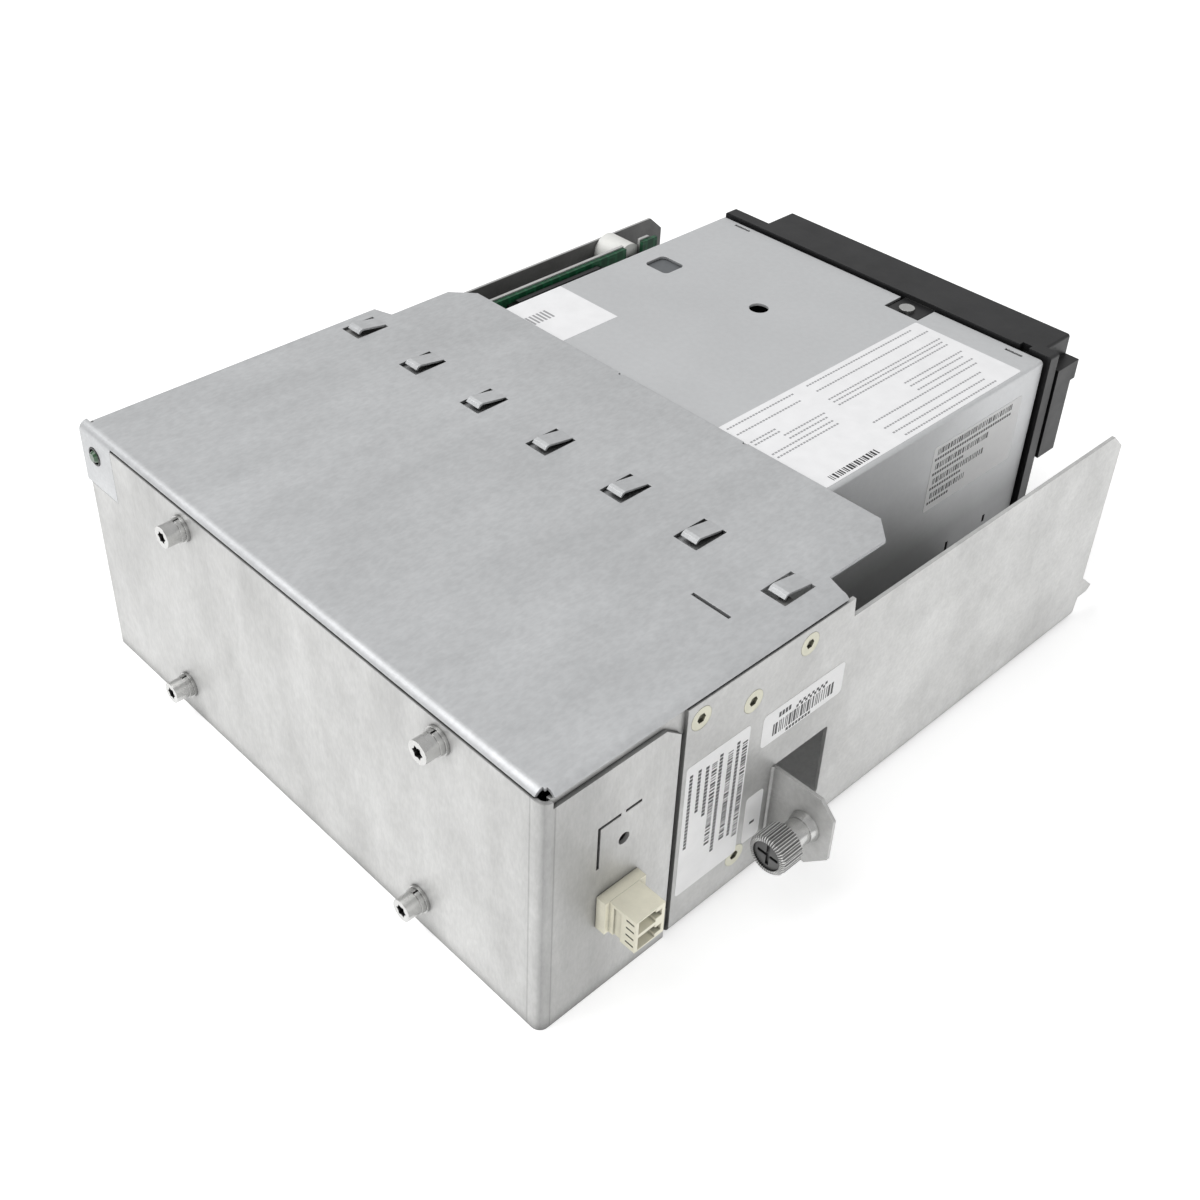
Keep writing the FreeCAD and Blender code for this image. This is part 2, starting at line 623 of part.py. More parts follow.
def fibre_port():
    """Duplex port: a flange on the panel, a body out and in, and two stepped openings."""
    y = [REAR + d for d in PORT_D]
    body = block((HALF - 16.0, HALF + PORT_REACH), (y[0] + LAP, y[1] - LAP),
                 (PORT_Z[0] + LAP, PORT_Z[1] - LAP))
    flange = block((HALF + LAP, HALF + PORT_FLANGE), (y[0] - PORT_FLANGE_LIP, y[1] + 2.4), PORT_Z)
    body = join(body, flange)
    pitch = (PORT_Z[1] - PORT_Z[0]) / 2.0
    cuts = []
    for i in (0, 1):
        z = PORT_Z[0] + pitch * (i + 0.5)
        cuts.append(block((HALF - 17, HALF + PORT_REACH + 1), (y[0] + 1.2, y[1] - 3.4),
                          (z - 2.3, z + 2.3)))
        cuts.append(block((HALF - 17, HALF + PORT_REACH + 1), (y[1] - 3.5, y[1] - 1.2),
                          (z - 1.2, z + 1.2)))
    groove = block((HALF + 5.0, HALF + 7.6), (y[0] - 1, y[0] + 0.7), (PORT_Z[0] - 1, PORT_Z[1] - 1.2))
    cuts.append(groove)
    for i in range(4):
        z = PORT_Z[0] + 1.7 + 2.65 * i
        cuts.append(block((HALF + 9.4, HALF + 12.2), (y[0] - 1, y[0] + 0.6), (z, z + 0.6)))
    return body.cut(group(cuts))


def port_ferrules():
    """Alignment sleeves and their divider inside the fibre port."""
    pitch = (PORT_Z[1] - PORT_Z[0]) / 2.0
    y = REAR + (PORT_D[0] + PORT_D[1]) / 2.0 - 1.1
    sleeves = []
    for i in (0, 1):
        z = PORT_Z[0] + pitch * (i + 0.5)
        wall = block((HALF - 1.0, HALF + 0.5), (REAR + PORT_D[0] + 1.2, REAR + PORT_D[1] - 3.4),
                     (z - 2.3, z + 2.3))
        sleeve = rod(1.1, at(HALF - 6, y, z), at(HALF + 5, y, z))
        bore = rod(0.63, at(HALF - 7, y, z), at(HALF + 6, y, z))
        sleeves.append(join(sleeve, wall).cut(bore))
    return group(sleeves)


def led_holder():
    """Clip in the lamp tab's hole."""
    rim_z = REAR + COVER_SHEET
    rim = rod(LED_R + 1.6, at(LED_X, rim_z, LED_Z), at(LED_X, rim_z + 3.0, LED_Z))
    ring = rod(LED_R + 0.6, at(LED_X, REAR - 0.2, LED_Z), at(LED_X, rim_z, LED_Z))
    return join(rim, ring).cut(rod(LED_R + LAP, at(LED_X, REAR - 1, LED_Z), at(LED_X, REAR + 9, LED_Z)))


def status_led():
    """Lamp with a tapered nose, and its base flange behind the clip."""
    tip = REAR - 1.0
    base = REAR + COVER_SHEET + 3.0
    nose = cone(LED_R - 1.1, LED_R, at(LED_X, tip, LED_Z), at(LED_X, tip + 1.6, LED_Z))
    body = rod(LED_R, at(LED_X, tip + 1.6, LED_Z), at(LED_X, base + LAP, LED_Z))
    flange = rod(LED_R + 0.5, at(LED_X, base + LAP, LED_Z), at(LED_X, base + 1.2, LED_Z))
    return join(nose, body, flange)


# ---- captive screw ---------------------------------------------------------------------------
def knob_axis(depth):
    return at(HALF + KNOB_X, REAR + depth, KNOB_Z)


def screw_collar():
    """Flared collar pressed into the tab, with the spring's chamber inside and a lip for the screw."""
    tab = WINDOW_D[0]
    flare = cone(5.0, 4.3, knob_axis(tab), knob_axis(tab - 2.6))
    barrel = rod(COLLAR_R, knob_axis(tab - 2.6), knob_axis(KNOB_D[1] + 1.0))
    spigot = rod(TAB_HOLE_R - RUN, knob_axis(tab), knob_axis(tab + SHEET))
    body = join(flare, barrel, spigot)
    chamber = rod(CHAMBER_R, knob_axis(KNOB_D[1]), knob_axis(tab - 1.0))
    lip = spindle(LIP_R, knob_axis(tab - 2), knob_axis(tab + 3))
    return body.cut(group([chamber, lip]))


def thumbscrew():
    """Screw with a cross recess in its head, a necked shank and a threaded end."""
    head = KNOB_D[0] + HEAD_SINK
    under = head + HEAD_T
    thread = WINDOW_D[0] + SHEET + 0.3
    screw = join(rod(KNOB_BORE - RUN, knob_axis(head), knob_axis(under)),
                 rod(NECK_R, knob_axis(under - LAP), knob_axis(thread)),
                 rod(SCREW_R, knob_axis(thread), knob_axis(thread + SCREW_END)))
    x = HALF + KNOB_X
    deep = (REAR + head - 1, REAR + head + 0.7)
    arm = (-3.6, 3.6)
    half = (-0.55, 0.55)
    cross = join(block([x + a for a in arm], deep, [KNOB_Z + a for a in half]),
                 block([x + a for a in half], deep, [KNOB_Z + a for a in arm]))
    return screw.cut(cross)


def knob_sleeve():
    """Fluted sleeve pressed on the screw's head; its skirt runs over the collar."""
    face, back = KNOB_D
    flutes = star(HALF + KNOB_X, KNOB_Z, KNOB_FLUTES, KNOB_R, KNOB_R - 0.35)
    sleeve = prism("xz", flutes, REAR + face, REAR + back)
    sleeve = sleeve.common(cone(KNOB_R - 0.7, KNOB_R + 7.0, knob_axis(face), knob_axis(back)))
    return sleeve.cut(rod(KNOB_BORE, knob_axis(face - 1), knob_axis(back + 1)))


def screw_washer():
    """Spring seat that slides in the knob with the screw but doesn't turn."""
    floor = KNOB_D[0] + HEAD_SINK + HEAD_T
    return tube(4.0, NECK_R + RUN, knob_axis(floor + 0.02), knob_axis(floor + 0.6))


# ---- interface board --------------------------------------------------------------------------
def board_holes():
    """Clearance holes for the board's screws."""
    x = BOARD_X - BOARD_T - SHEET
    holes = [spindle(SIDE_SHANK_R + LAP, at(x - 1, REAR + d, z), at(BOARD_X + 1, REAR + d, z))
             for d, z in SPACERS]
    return group(holes)


def board_notch():
    """Notch over the front screw, cut through the board or its frame."""
    d, z = SPACERS[0]
    return block((BOARD_X - BOARD_T - SHEET - 1, BOARD_X + 1),
                 (REAR + d - NOTCH[0] / 2, REAR + d + NOTCH[0] / 2), (BOARD_Z[1] - NOTCH[1], BOARD_Z[1] + 2))


def board_frame():
    """Plate between the spacers and the board, with a flange along its bottom edge."""
    face = BOARD_X - BOARD_T
    y = (REAR + BOARD_D[0], REAR + BOARD_D[1] - 3.0)
    low = BOARD_Z[0] - SHEET - LAP
    plate = block((face - SHEET, face), y, (low, BOARD_Z[1] + 0.6))
    flange = block((face, face + BOARD_FLANGE), y, (low, low + SHEET))
    return join(plate, flange).cut(group([board_holes(), board_notch()]))


def interface_board():
    """Upright circuit board beside the drive."""
    board = block((BOARD_X - BOARD_T, BOARD_X), [REAR + d for d in BOARD_D], BOARD_Z)
    return board.cut(group([board_holes(), board_notch()]))


def board_parts():
    """The long edge connector, and packages on the board's inner face."""
    rear, front = [REAR + d for d in BOARD_D]
    top = BOARD_Z[1] - 2.5
    x = BOARD_X
    socket = block((x, x + 3.4), (front - 78.0, front - 31.0), (top - 8.0, top))
    ridge = block((x + 1.4, x + 3.2), (front - 75.0, front - 34.0), (top - 1, top + 1.5))
    parts = [join(socket, ridge)]
    middle = (BOARD_Z[0] + BOARD_Z[1]) / 2
    for start, length, height, out in ((38.0, 40.0, 10.0, 6.0), (88.0, 28.0, 28.0, 2.0),
                                       (128.0, 16.0, 16.0, 2.0), (4.0, 10.0, 40.0, 5.0)):
        parts.append(block((x, x + out), (rear + start, rear + start + length),
                           (middle - height / 2, middle + height / 2)))
    return group(parts)


def board_spacers():
    """Threaded nylon spacers between the left wall and the board frame."""
    wall = -HALF + SHEET
    seat = BOARD_X - BOARD_T - SHEET
    spacers = []
    for d, z in SPACERS:
        body = rod(SPACER_R, at(wall, REAR + d, z), at(seat, REAR + d, z))
        bore = spindle(SIDE_SHANK_R + RUN, at(wall - 1, REAR + d, z), at(seat + 1, REAR + d, z))
        spacers.append(body.cut(bore))
    return group(spacers)


def board_screws():
    """Pan-head screws through the board and its frame into the spacers."""
    screws = []
    for d, z in SPACERS:
        head = rod(2.8, at(BOARD_X, REAR + d, z), at(BOARD_X + 1.8, REAR + d, z))
        shank = spindle(SIDE_SHANK_R, at(BOARD_X - 8.0, REAR + d, z), at(BOARD_X, REAR + d, z))
        screws.append(join(head, shank))
    return group(screws)


def side_bracket():
    """Channel between the right wall and the drive's side."""
    outer = HALF - SHEET
    inner = DRIVE_R + 0.3
    y = [REAR + d for d in BRACKET_D]
    web = block((inner, outer), (y[1] - SHEET, y[1]), (4.0, 82.0))
    near = block((outer - 2 * SHEET, outer), y, (4.0, 82.0))
    far = block((inner, inner + SHEET), y, (4.0, 60.0))
    holes = [spindle(SIDE_SHANK_R + RUN, at(outer + 1, REAR + d, z), at(outer - 8, REAR + d, z))
             for d, z in BRACKET_SCREWS]
    return join(web, near, far).cut(group(holes))


# ---- drive shell ----------------------------------------------------------------------------
def feet():
    """Places of the drive's four bottom screws."""
    return [(DRIVE_X + side * FEET_X, REAR + d) for side in (-1, 1) for d in FEET_D]


def drive_feet():
    """Damping pads between the tray and the drive."""
    pads = []
    for x, y in feet():
        pad = block((x - FOOT / 2, x + FOOT / 2), (y - FOOT / 2, y + FOOT / 2), (SHEET, DRIVE_Z))
        pads.append(pad.cut(spindle(FOOT_SHANK_R + RUN, at(x, y, 0), at(x, y, DRIVE_Z + 1))))
    return group(pads)


def drive_screws():
    """Flat-head screws up through the tray and the pads into the drive's base."""
    screws = []
    for x, y in feet():
        head = frustum(FOOT_HEAD_R - RUN, FOOT_SHANK_R - RUN, at(x, y, 0), at(x, y, SHEET))
        shank = spindle(FOOT_SHANK_R - RUN, at(x, y, SHEET), at(x, y, DRIVE_Z + 5.0))
        screws.append(join(head, shank))
    return group(screws)


def base_inside():
    """Inner faces of the cast base's side walls."""
    inset = CASE + LAP + WALL
    return DRIVE_L + inset, DRIVE_R - inset


def drive_base():
    """Cast base: deck, side and end walls, screw bosses and the threader plate's posts."""
    y0 = REAR + DRIVE_REAR
    low = block((DRIVE_L, DRIVE_R), (y0, FRAME_Y), (DRIVE_Z, CASE_LOW))
    set_in = CASE + LAP
    high = block((DRIVE_L + set_in, DRIVE_R - set_in), (y0 + set_in, FRAME_Y), (CASE_LOW - 1, BASE_TOP))
    body = join(low, high)
    under = block(base_inside(), (y0 + 4, FRAME_Y - 3), (DRIVE_Z - 1, DECK[0]))
    over = block(base_inside(), (y0 + 4, FRAME_Y + 1), (DECK[1], BASE_TOP + 1))
    body = body.cut(group([under, over]))
    bosses = [spindle(BOSS_R, at(x, y, DRIVE_Z), at(x, y, DRIVE_Z + 7.0)) for x, y in feet()]
    posts = [spindle(POST_R, at(x, REAR + d, DECK[1] - 0.5), at(x, REAR + d, PLATE_Z))
             for x, d in PLATE_POSTS]
    body = join(body, *bosses, *posts)
    holes = [spindle(FOOT_SHANK_R + RUN, at(x, y, DRIVE_Z - 1), at(x, y, DRIVE_Z + 6.0)) for x, y in feet()]
    holes += [rod(SPIGOT_R, at(x, REAR + d, DECK[0] - 1), at(x, REAR + d, DECK[1] + 1))
              for x, d in (CHUCK, REEL)]
    return body.cut(group(holes))


def drive_case():
    """Pressed case over the drive's top and sides, with its service holes and a sunk pan."""
    y0 = REAR + DRIVE_REAR
    y1 = FRAME_Y - CASE_GAP
    outer = block((DRIVE_L, DRIVE_R), (y0, y1), (CASE_LOW, DRIVE_TOP))
    outer = soften(outer, 1.5, 1, lambda c: c.z > DRIVE_TOP - 1)
    inner = block((DRIVE_L + CASE, DRIVE_R - CASE), (y0 + CASE, y1 + 1),
                  (CASE_LOW - 1, DRIVE_TOP - CASE))
    case = outer.cut(inner)
    z = (DRIVE_TOP - 1.5, DRIVE_TOP + 1)
    square = block((-68.5, -57.4), (REAR + 209.5, REAR + 219.6), z)
    cuts = [soften(square, 2.0, 2)]
    cuts.append(rod(3.5, at(-18.3, REAR + 216.2, z[0]), at(-18.3, REAR + 216.2, z[1])))
    cuts.append(block((-68.4, -61.0), (REAR + 259.2, REAR + 260.4), z))
    cuts.append(block((55.8, 62.6), (REAR + 258.4, REAR + 259.6), z))
    side = (DRIVE_R - 2, DRIVE_R + 1)
    cuts.append(block(side, (REAR + 243.6, REAR + 245.0), (27.0, 30.0)))
    cuts.append(block(side, (REAR + 221.8, REAR + 223.2), (25.0, 29.0)))
    pan_x = (TAB_X[0] - 0.8, TAB_X[1] + 0.8)
    pan_y = REAR + TAB_SCREW[1] - 4.0
    cuts.append(block(pan_x, (pan_y, y1 + 1), z))
    case = case.cut(group(cuts))
    floor = TAB_LOW - LAP
    bowl = block((pan_x[0] - CASE, pan_x[1] + CASE), (pan_y - CASE, TAB_BACK),
                 (floor - CASE, DRIVE_TOP - 0.5))
    bowl = bowl.cut(block(pan_x, (pan_y, TAB_BACK + 1), (floor, DRIVE_TOP + 1)))
    x, d = TAB_SCREW
    hole = spindle(SIDE_SHANK_R + RUN, at(x, REAR + d, floor - 2), at(x, REAR + d, floor + 1))
    return join(case, bowl).cut(hole)


def case_boss():
    """Alignment boss that fills the case's square hole."""
    y = REAR + 214.5
    boss = block((-66.9, -59.0), (y - 3.9, y + 3.9), (DRIVE_TOP - CASE - 6.0, DRIVE_TOP - 1.3))
    flange = block((-70.5, -55.5), (y - 7.0, y + 7.0), (DRIVE_TOP - CASE - 1.8, DRIVE_TOP - CASE - LAP))
    return join(soften(boss, 1.5, 2), flange)


def bottom_plate():
    """Cover plate under the drive's base."""
    left, right = base_inside()
    plate = block((left + LAP, right - LAP), (REAR + DRIVE_REAR + 4 + LAP, FRAME_Y - 3 - LAP),
                  (DRIVE_Z, DRIVE_Z + CASE))
    notches = [spindle(BOSS_R + LAP, at(x, y, DRIVE_Z - 1), at(x, y, DRIVE_Z + 3)) for x, y in feet()]
    return plate.cut(group(notches))


def drive_board():
    """Main circuit board under the deck, hung on four stubs."""
    left, right = base_inside()
    z = 12.0
    y = (REAR + DRIVE_REAR + 6, FRAME_Y - 6)
    board = block((left + 1, right - 1), y, (z, z + BOARD_T))
    chips = [block((x, x + s), (REAR + d, REAR + d + s), (z + BOARD_T, z + BOARD_T + 2.4))
             for x, d, s in ((-30.0, 130.0, 26.0), (10.0, 135.0, 22.0), (-20.0, 180.0, 16.0))]
    stubs = [block((x - 2.5, x + 2.5), (yy - 2.5, yy + 2.5), (z + BOARD_T, DECK[0]))
             for x in (left + 5, right - 5) for yy in (y[0] + 8, y[1] - 8)]
    return join(board, *chips, *stubs)


def drive_connector():
    """Host and power sockets at the drive's rear."""
    y = (REAR + DRIVE_REAR - 4.0, REAR + DRIVE_REAR)
    host = block((-50.0, -10.0), y, (8.0, 20.0))
    power = block((20.0, 42.0), y, (8.0, 20.0))
    pockets = [block((-48.0, -12.0), (y[0] - 1, y[0] + 3), (10.0, 18.0)),
               block((22.0, 40.0), (y[0] - 1, y[0] + 3), (10.0, 18.0))]
    return group([host.cut(pockets[0]), power.cut(pockets[1])])


# ---- bezel ----------------------------------------------------------------------------------------
def rectangle(x, z, y, grow):
    """An upright rectangular wire at one depth, grown on every side."""
    corners = [at(x[0] - grow, y, z[0] - grow), at(x[1] + grow, y, z[0] - grow),
               at(x[1] + grow, y, z[1] + grow), at(x[0] - grow, y, z[1] + grow)]
    return Part.makePolygon(corners + corners[:1])


def bezel():
    """Front plate with a hollow shroud round the cartridge slot and a block beside it."""
    plate = block((DRIVE_L, DRIVE_R + 1.7), (FRAME_Y, FACE_Y), (DRIVE_Z - 1.0, BEZEL_TOP))
    shroud = block(SHROUD_X, (FACE_Y - 1, SHROUD_Y), (SHROUD_Z, BEZEL_TOP))
    shroud = soften(shroud, 1.0, 1)
    right = SHROUD_X[1] + BLOCK_W
    side = block((SHROUD_X[1] - 3, right), (FACE_Y + 1.4, SHROUD_Y), (SHROUD_Z, BLOCK_TOP))
    recess = block((SHROUD_X[1] + 0.1, right + 1), (SHROUD_Y - 2.6, SHROUD_Y + 1), (SHROUD_Z - 1, 72.0))
    body = join(soften(plate, 1.0, 1), shroud, side.cut(recess))

    through = (FRAME_Y - 1, SHROUD_Y + 1)
    slot_x = (SLOT_X - SLOT_W / 2, SLOT_X + SLOT_W / 2)
    flare = Part.makeLoft([rectangle(slot_x, SLOT_Z, SHROUD_Y - 5.0, 0),
                           rectangle(slot_x, SLOT_Z, SHROUD_Y + 0.01, 3.0)], True)
    hollow = block((SHROUD_X[0] + 2.5, BUTTON_X[0] - 3.0), (FRAME_Y - 1, SHROUD_Y - 3.0),
                   (SHROUD_Z + 2.5, SLOT_Z[0] - 2.5))
    cuts = [block(slot_x, through, SLOT_Z), flare, hollow]
    cuts.append(block((BUTTON_X[0] - 0.4, BUTTON_X[1] + 0.4), through,
                      (BUTTON_Z[0] - 0.4, BUTTON_Z[1] + 0.4)))
    cuts.append(block(BUTTON_X, through, LENS_Z))
    for i in range(VENTS):
        x = DRIVE_X + VENT_PITCH * (i - (VENTS - 1) / 2.0)
        cuts.append(block((x - 1.6, x + 1.6), (FRAME_Y - 1, FACE_Y + 1), (12.0, 34.0)))
    cuts.append(block((58.5, 62.2), (FRAME_Y - 1, FRAME_Y + 2.1), (BEZEL_TOP - 3, BEZEL_TOP + 1)))
    body = body.cut(group(cuts))

    tab = block(TAB_X, (REAR + TAB_SCREW[1] - 3.2, FRAME_Y + 1), (TAB_LOW, TAB_TOP))
    lugs = [block(x, (DOOR_Y - 2.0, FRAME_Y + 1), (DOOR_Z - 2.0, DOOR_Z + 2.0)) for x in door_lugs()]
    pin_holes = [spindle(DOOR_PIN_R + LAP, at(x[0] - 1, DOOR_Y, DOOR_Z), at(x[1] + 1, DOOR_Y, DOOR_Z))
                 for x in door_lugs()]
    x, d = TAB_SCREW
    screw_hole = spindle(SIDE_SHANK_R + RUN, at(x, REAR + d, TAB_LOW - 1), at(x, REAR + d, TAB_TOP + 1))
    return join(body, tab, *lugs).cut(group(pin_holes + [screw_hole]))


def door_lugs():
    """The two lugs that hold the door's pin: x ranges."""
    left = SLOT_X - SLOT_W / 2 - 1.0
    right = SLOT_X + SLOT_W / 2 + 1.0
    return ((left - 3.6, left - 0.6), (right + 0.6, right + 3.6))


def door_pin():
    """Steel pin through both lugs and the door."""
    left, right = door_lugs()
    return rod(DOOR_PIN_R, at(left[0], DOOR_Y, DOOR_Z), at(right[1], DOOR_Y, DOOR_Z))


def cartridge_door():
    """Flap behind the slot, hung from its top edge, with stiffening ribs."""
    left, right = door_lugs()
    x = (left[1] + 0.5, right[0] - 0.5)
    low = SLOT_Z[0] - 0.4
    flap = block(x, (DOOR_Y + 0.2, DOOR_Y + 0.2 + DOOR_T), (low, DOOR_Z))
    barrel = rod(DOOR_BARREL_R, at(x[0], DOOR_Y, DOOR_Z), at(x[1], DOOR_Y, DOOR_Z))
    ribs = [block((edge, edge + 1.2), (DOOR_Y - 1.2, DOOR_Y + 0.3), (low + 1.4, DOOR_Z - 1))
            for edge in (x[0] + 10.0, SLOT_X - 0.6, x[1] - 11.2)]
    bore = rod(DOOR_PIN_R + RUN, at(x[0] - 1, DOOR_Y, DOOR_Z), at(x[1] + 1, DOOR_Y, DOOR_Z))
    return join(flap, barrel, *ribs).cut(bore)


def eject_button():
    """Button cap with a stem that reaches the switch behind the plate."""
    cap = block(BUTTON_X, (SHROUD_Y - 8.0, SHROUD_Y + 0.6), BUTTON_Z)
    cap = soften(cap, 1.0, 1)
    stem = block((61.0, 64.2), (FRAME_Y - 2.2, SHROUD_Y - 7.5), (52.0, 56.0))
    return join(cap, stem)


def front_lens():
    """Light window of the bezel."""
    x = (BUTTON_X[0] + LAP, BUTTON_X[1] - LAP)
    z = (LENS_Z[0] + LAP, LENS_Z[1] - LAP)
    return block(x, (FRAME_Y - 2.0, SHROUD_Y - 0.4), z)


def front_board():
    """Small board behind the bezel with the eject switch."""
    y = FRAME_Y - 6.5
    board = block((59.2, 65.0), (y, y + BOARD_T), (DECK[1], 76.0))
    switch = block((60.4, 64.8), (y + BOARD_T, FRAME_Y - 2.2 - BUTTON_TRAVEL - 0.3), (51.0, 57.0))
    return join(board, switch)


def bezel_screw():
    """Screw through the bezel's tab into the pan of the case."""
    x, d = TAB_SCREW
    y = REAR + d
    head = rod(2.8, at(x, y, TAB_TOP), at(x, y, TAB_TOP + 1.2))
    shank = spindle(SIDE_SHANK_R, at(x, y, TAB_LOW - 1.1), at(x, y, TAB_TOP))
    return join(head, shank)


# ---- cartridge loader ----------------------------------------------------------------------------
def bay_sides():
    """Inner faces of the cartridge carrier."""
    half = CARTRIDGE[0] / 2 + BAY_CLEAR
    return SLOT_X - half, SLOT_X + half


def loader_sides(layer):
    """Outer faces of the carrier, the slider or the frame, as layers 0, 1 and 2."""
    left, right = bay_sides()
    out = CARRIER_T + layer * (SIDE_GAP + SIDE_T)
    return left - out, right + out


def cartridge_carrier():
    """Open-ended box that holds the cartridge, with four guide pins."""
    left, right = bay_sides()
    y = [REAR + d for d in CARRIER_D]
    z0, z1 = CARRIER_Z
    shell = block((left - CARRIER_T, right + CARRIER_T), y, CARRIER_Z)
    inside = block((left, right), (y[0] - 1, y[1] + 1), (z0 + SIDE_T, z1 - SIDE_T))
    body = shell.cut(inside)
    hole = rod(CHUCK_R + 5.0, at(CHUCK[0], REAR + CHUCK[1], z0 - 1), at(CHUCK[0], REAR + CHUCK[1], z0 + 3))
    roof = block((left + 12, right - 12), (y[0] + 14, y[1] - 14), (z1 - 3, z1 + 1))
    body = body.cut(group([hole, roof]))
    stop = block((left, right), (y[0], y[0] + 1.2), (z0 + 0.5, z0 + 5.0))
    pins = []
    frame_l, frame_r = loader_sides(2)
    for d in LOADER_PINS:
        pins.append(rod(PIN_R, at(frame_l + 0.2, REAR + d, PIN_Z), at(left - 0.5, REAR + d, PIN_Z)))
        pins.append(rod(PIN_R, at(right + 0.5, REAR + d, PIN_Z), at(frame_r - 0.2, REAR + d, PIN_Z)))
    return join(body, stop, *pins)


def cam_slot(x, depth):
    """Slanted slot that lowers one carrier pin as the slider moves forward."""
    width = PIN_R + RUN
    spare = 0.6
    y1 = REAR + depth + 2 * spare
    z1 = PIN_Z + spare
    y0 = REAR + depth - SLIDER_TRAVEL - 2 * spare
    z0 = PIN_Z - DROP - spare
    slope = math.atan2(z1 - z0, y1 - y0)
    dy = width * math.sin(slope)
    dz = width * math.cos(slope)
    outline = [(y0 + dy, z0 - dz), (y1 + dy, z1 - dz), (y1 - dy, z1 + dz), (y0 - dy, z0 + dz)]
    ends = [rod(width, at(x[0], y0, z0), at(x[1], y0, z0)), rod(width, at(x[0], y1, z1), at(x[1], y1, z1))]
    return join(prism("yz", outline, x[0], x[1]), *ends)


def loader_slider():
    """Two cam plates joined by a strap behind the reel motor."""
    left, right = loader_sides(1)
    y = [REAR + d for d in SLIDER_D]
    low = SLIDER_Z[0]
    sides = [block((left, left + SIDE_T), y, SLIDER_Z), block((right - SIDE_T, right), y, SLIDER_Z)]
    strap = block((left, right), (y[0], y[0] + 8.0), (low, low + SIDE_T))
    body = join(strap, *sides)
    slots = [cam_slot((left - 1, left + SIDE_T + 1), d) for d in LOADER_PINS]
    slots += [cam_slot((right - SIDE_T - 1, right + 1), d) for d in LOADER_PINS]
    return body.cut(group(slots))


def loader_frame():
    """Fixed frame on the deck with upright slots that keep the carrier square."""
    left, right = loader_sides(2)
    y = [REAR + d for d in FRAME_D]
    floor = block((left, right), y, (DECK[1], DECK[1] + SIDE_T))
    sides = [block((left, left + SIDE_T), y, (DECK[1], FRAME_TOP)),
             block((right - SIDE_T, right), y, (DECK[1], FRAME_TOP))]
    body = join(floor, *sides)
    cuts = [rod(26.0, at(CHUCK[0], REAR + CHUCK[1], DECK[1] - 1),
                at(CHUCK[0], REAR + CHUCK[1], DECK[1] + 3))]
    width = PIN_R + RUN
    for d in LOADER_PINS:
        z = (PIN_Z - DROP - 0.6, PIN_Z + 0.6)
        for x in ((left - 1, left + SIDE_T + 1), (right - SIDE_T - 1, right + 1)):
            slot = block(x, (REAR + d - width, REAR + d + width), z)
            ends = [rod(width, at(x[0], REAR + d, level), at(x[1], REAR + d, level)) for level in z]
            cuts.append(join(slot, *ends))
    return body.cut(group(cuts))


# ---- reels and tape path ------------------------------------------------------------------------
def motor(place, radius):
    """A flat motor on the deck, located by its spigot and bored for its shaft."""
    x, d = place
    y = REAR + d
    can = rod(radius, at(x, y, DECK[1]), at(x, y, MOTOR_TOP))
    spigot = rod(SPIGOT_R - RUN, at(x, y, DECK[0]), at(x, y, DECK[1]))
    bore = rod(SHAFT_R + RUN, at(x, y, DECK[0] - 1), at(x, y, MOTOR_TOP + 1))
    return join(can, spigot).cut(bore)


def supply_chuck():
    """Toothed chuck that meets the cartridge's reel from below."""
    x, y = CHUCK[0], REAR + CHUCK[1]
    base = MOTOR_TOP + 0.4
    disc = rod(CHUCK_R, at(x, y, base), at(x, y, base + 3.0))
    teeth = prism("xy", star(x, y, CHUCK_TEETH, CHUCK_R - 1.0, CHUCK_R - 4.0), base + 2.5, base + 5.4)
    teeth = teeth.cut(rod(CHUCK_R - 6.0, at(x, y, base + 3.0), at(x, y, base + 6.0)))
    shaft = rod(SHAFT_R, at(x, y, DECK[0]), at(x, y, base + 0.5))
    nose = cone(5.0, 3.0, at(x, y, base + 2.5), at(x, y, base + 6.4))
    return join(disc, teeth, shaft, nose)


def takeup_reel():
    """Hub between two flanges, with the leader's slot."""
    x, y = REEL[0], REAR + REEL[1]
    z0, z1 = TAPE_Z
    hub = rod(HUB_R, at(x, y, z0), at(x, y, z1))
    flanges = [rod(REEL_R, at(x, y, z0 - 1.5), at(x, y, z0)), rod(REEL_R, at(x, y, z1), at(x, y, z1 + 1.5))]
    shaft = rod(SHAFT_R, at(x, y, DECK[0]), at(x, y, z0))
    body = join(hub, shaft, *flanges)
    slot = [block((x - HUB_R - 1, x - 6.0), (y - 2.5, y + 2.5), (z0, z1 + 2)),
            block((x - REEL_R - 1, x - HUB_R), (y - 2.5, y + 2.5), (z1 - 0.1, z1 + 2))]
    return body.cut(group(slot))


def roller(x, depth):
    """Flanged guide roller, bored for its post."""
    y = REAR + depth
    z0, z1 = TAPE_Z
    body = rod(ROLLER_R - 0.7, at(x, y, z0), at(x, y, z1))
    rims = [rod(ROLLER_R, at(x, y, z0), at(x, y, z0 + 0.8)),
            rod(ROLLER_R, at(x, y, z1 - 0.8), at(x, y, z1))]
    bore = rod(ROLLER_POST_R + RUN, at(x, y, z0 - 1), at(x, y, z1 + 1))
    return join(body, *rims).cut(bore)


def roller_posts():
    """Shouldered posts of the guide rollers."""
    posts = []
    for x, depth in ROLLERS:
        y = REAR + depth
        post = rod(ROLLER_POST_R, at(x, y, TAPE_Z[0] - 0.3), at(x, y, TAPE_Z[1] + 1.0))
        foot = spindle(2 * ROLLER_POST_R, at(x, y, DECK[1]), at(x, y, TAPE_Z[0] - 0.3))
        posts.append(join(post, foot))
    return group(posts)


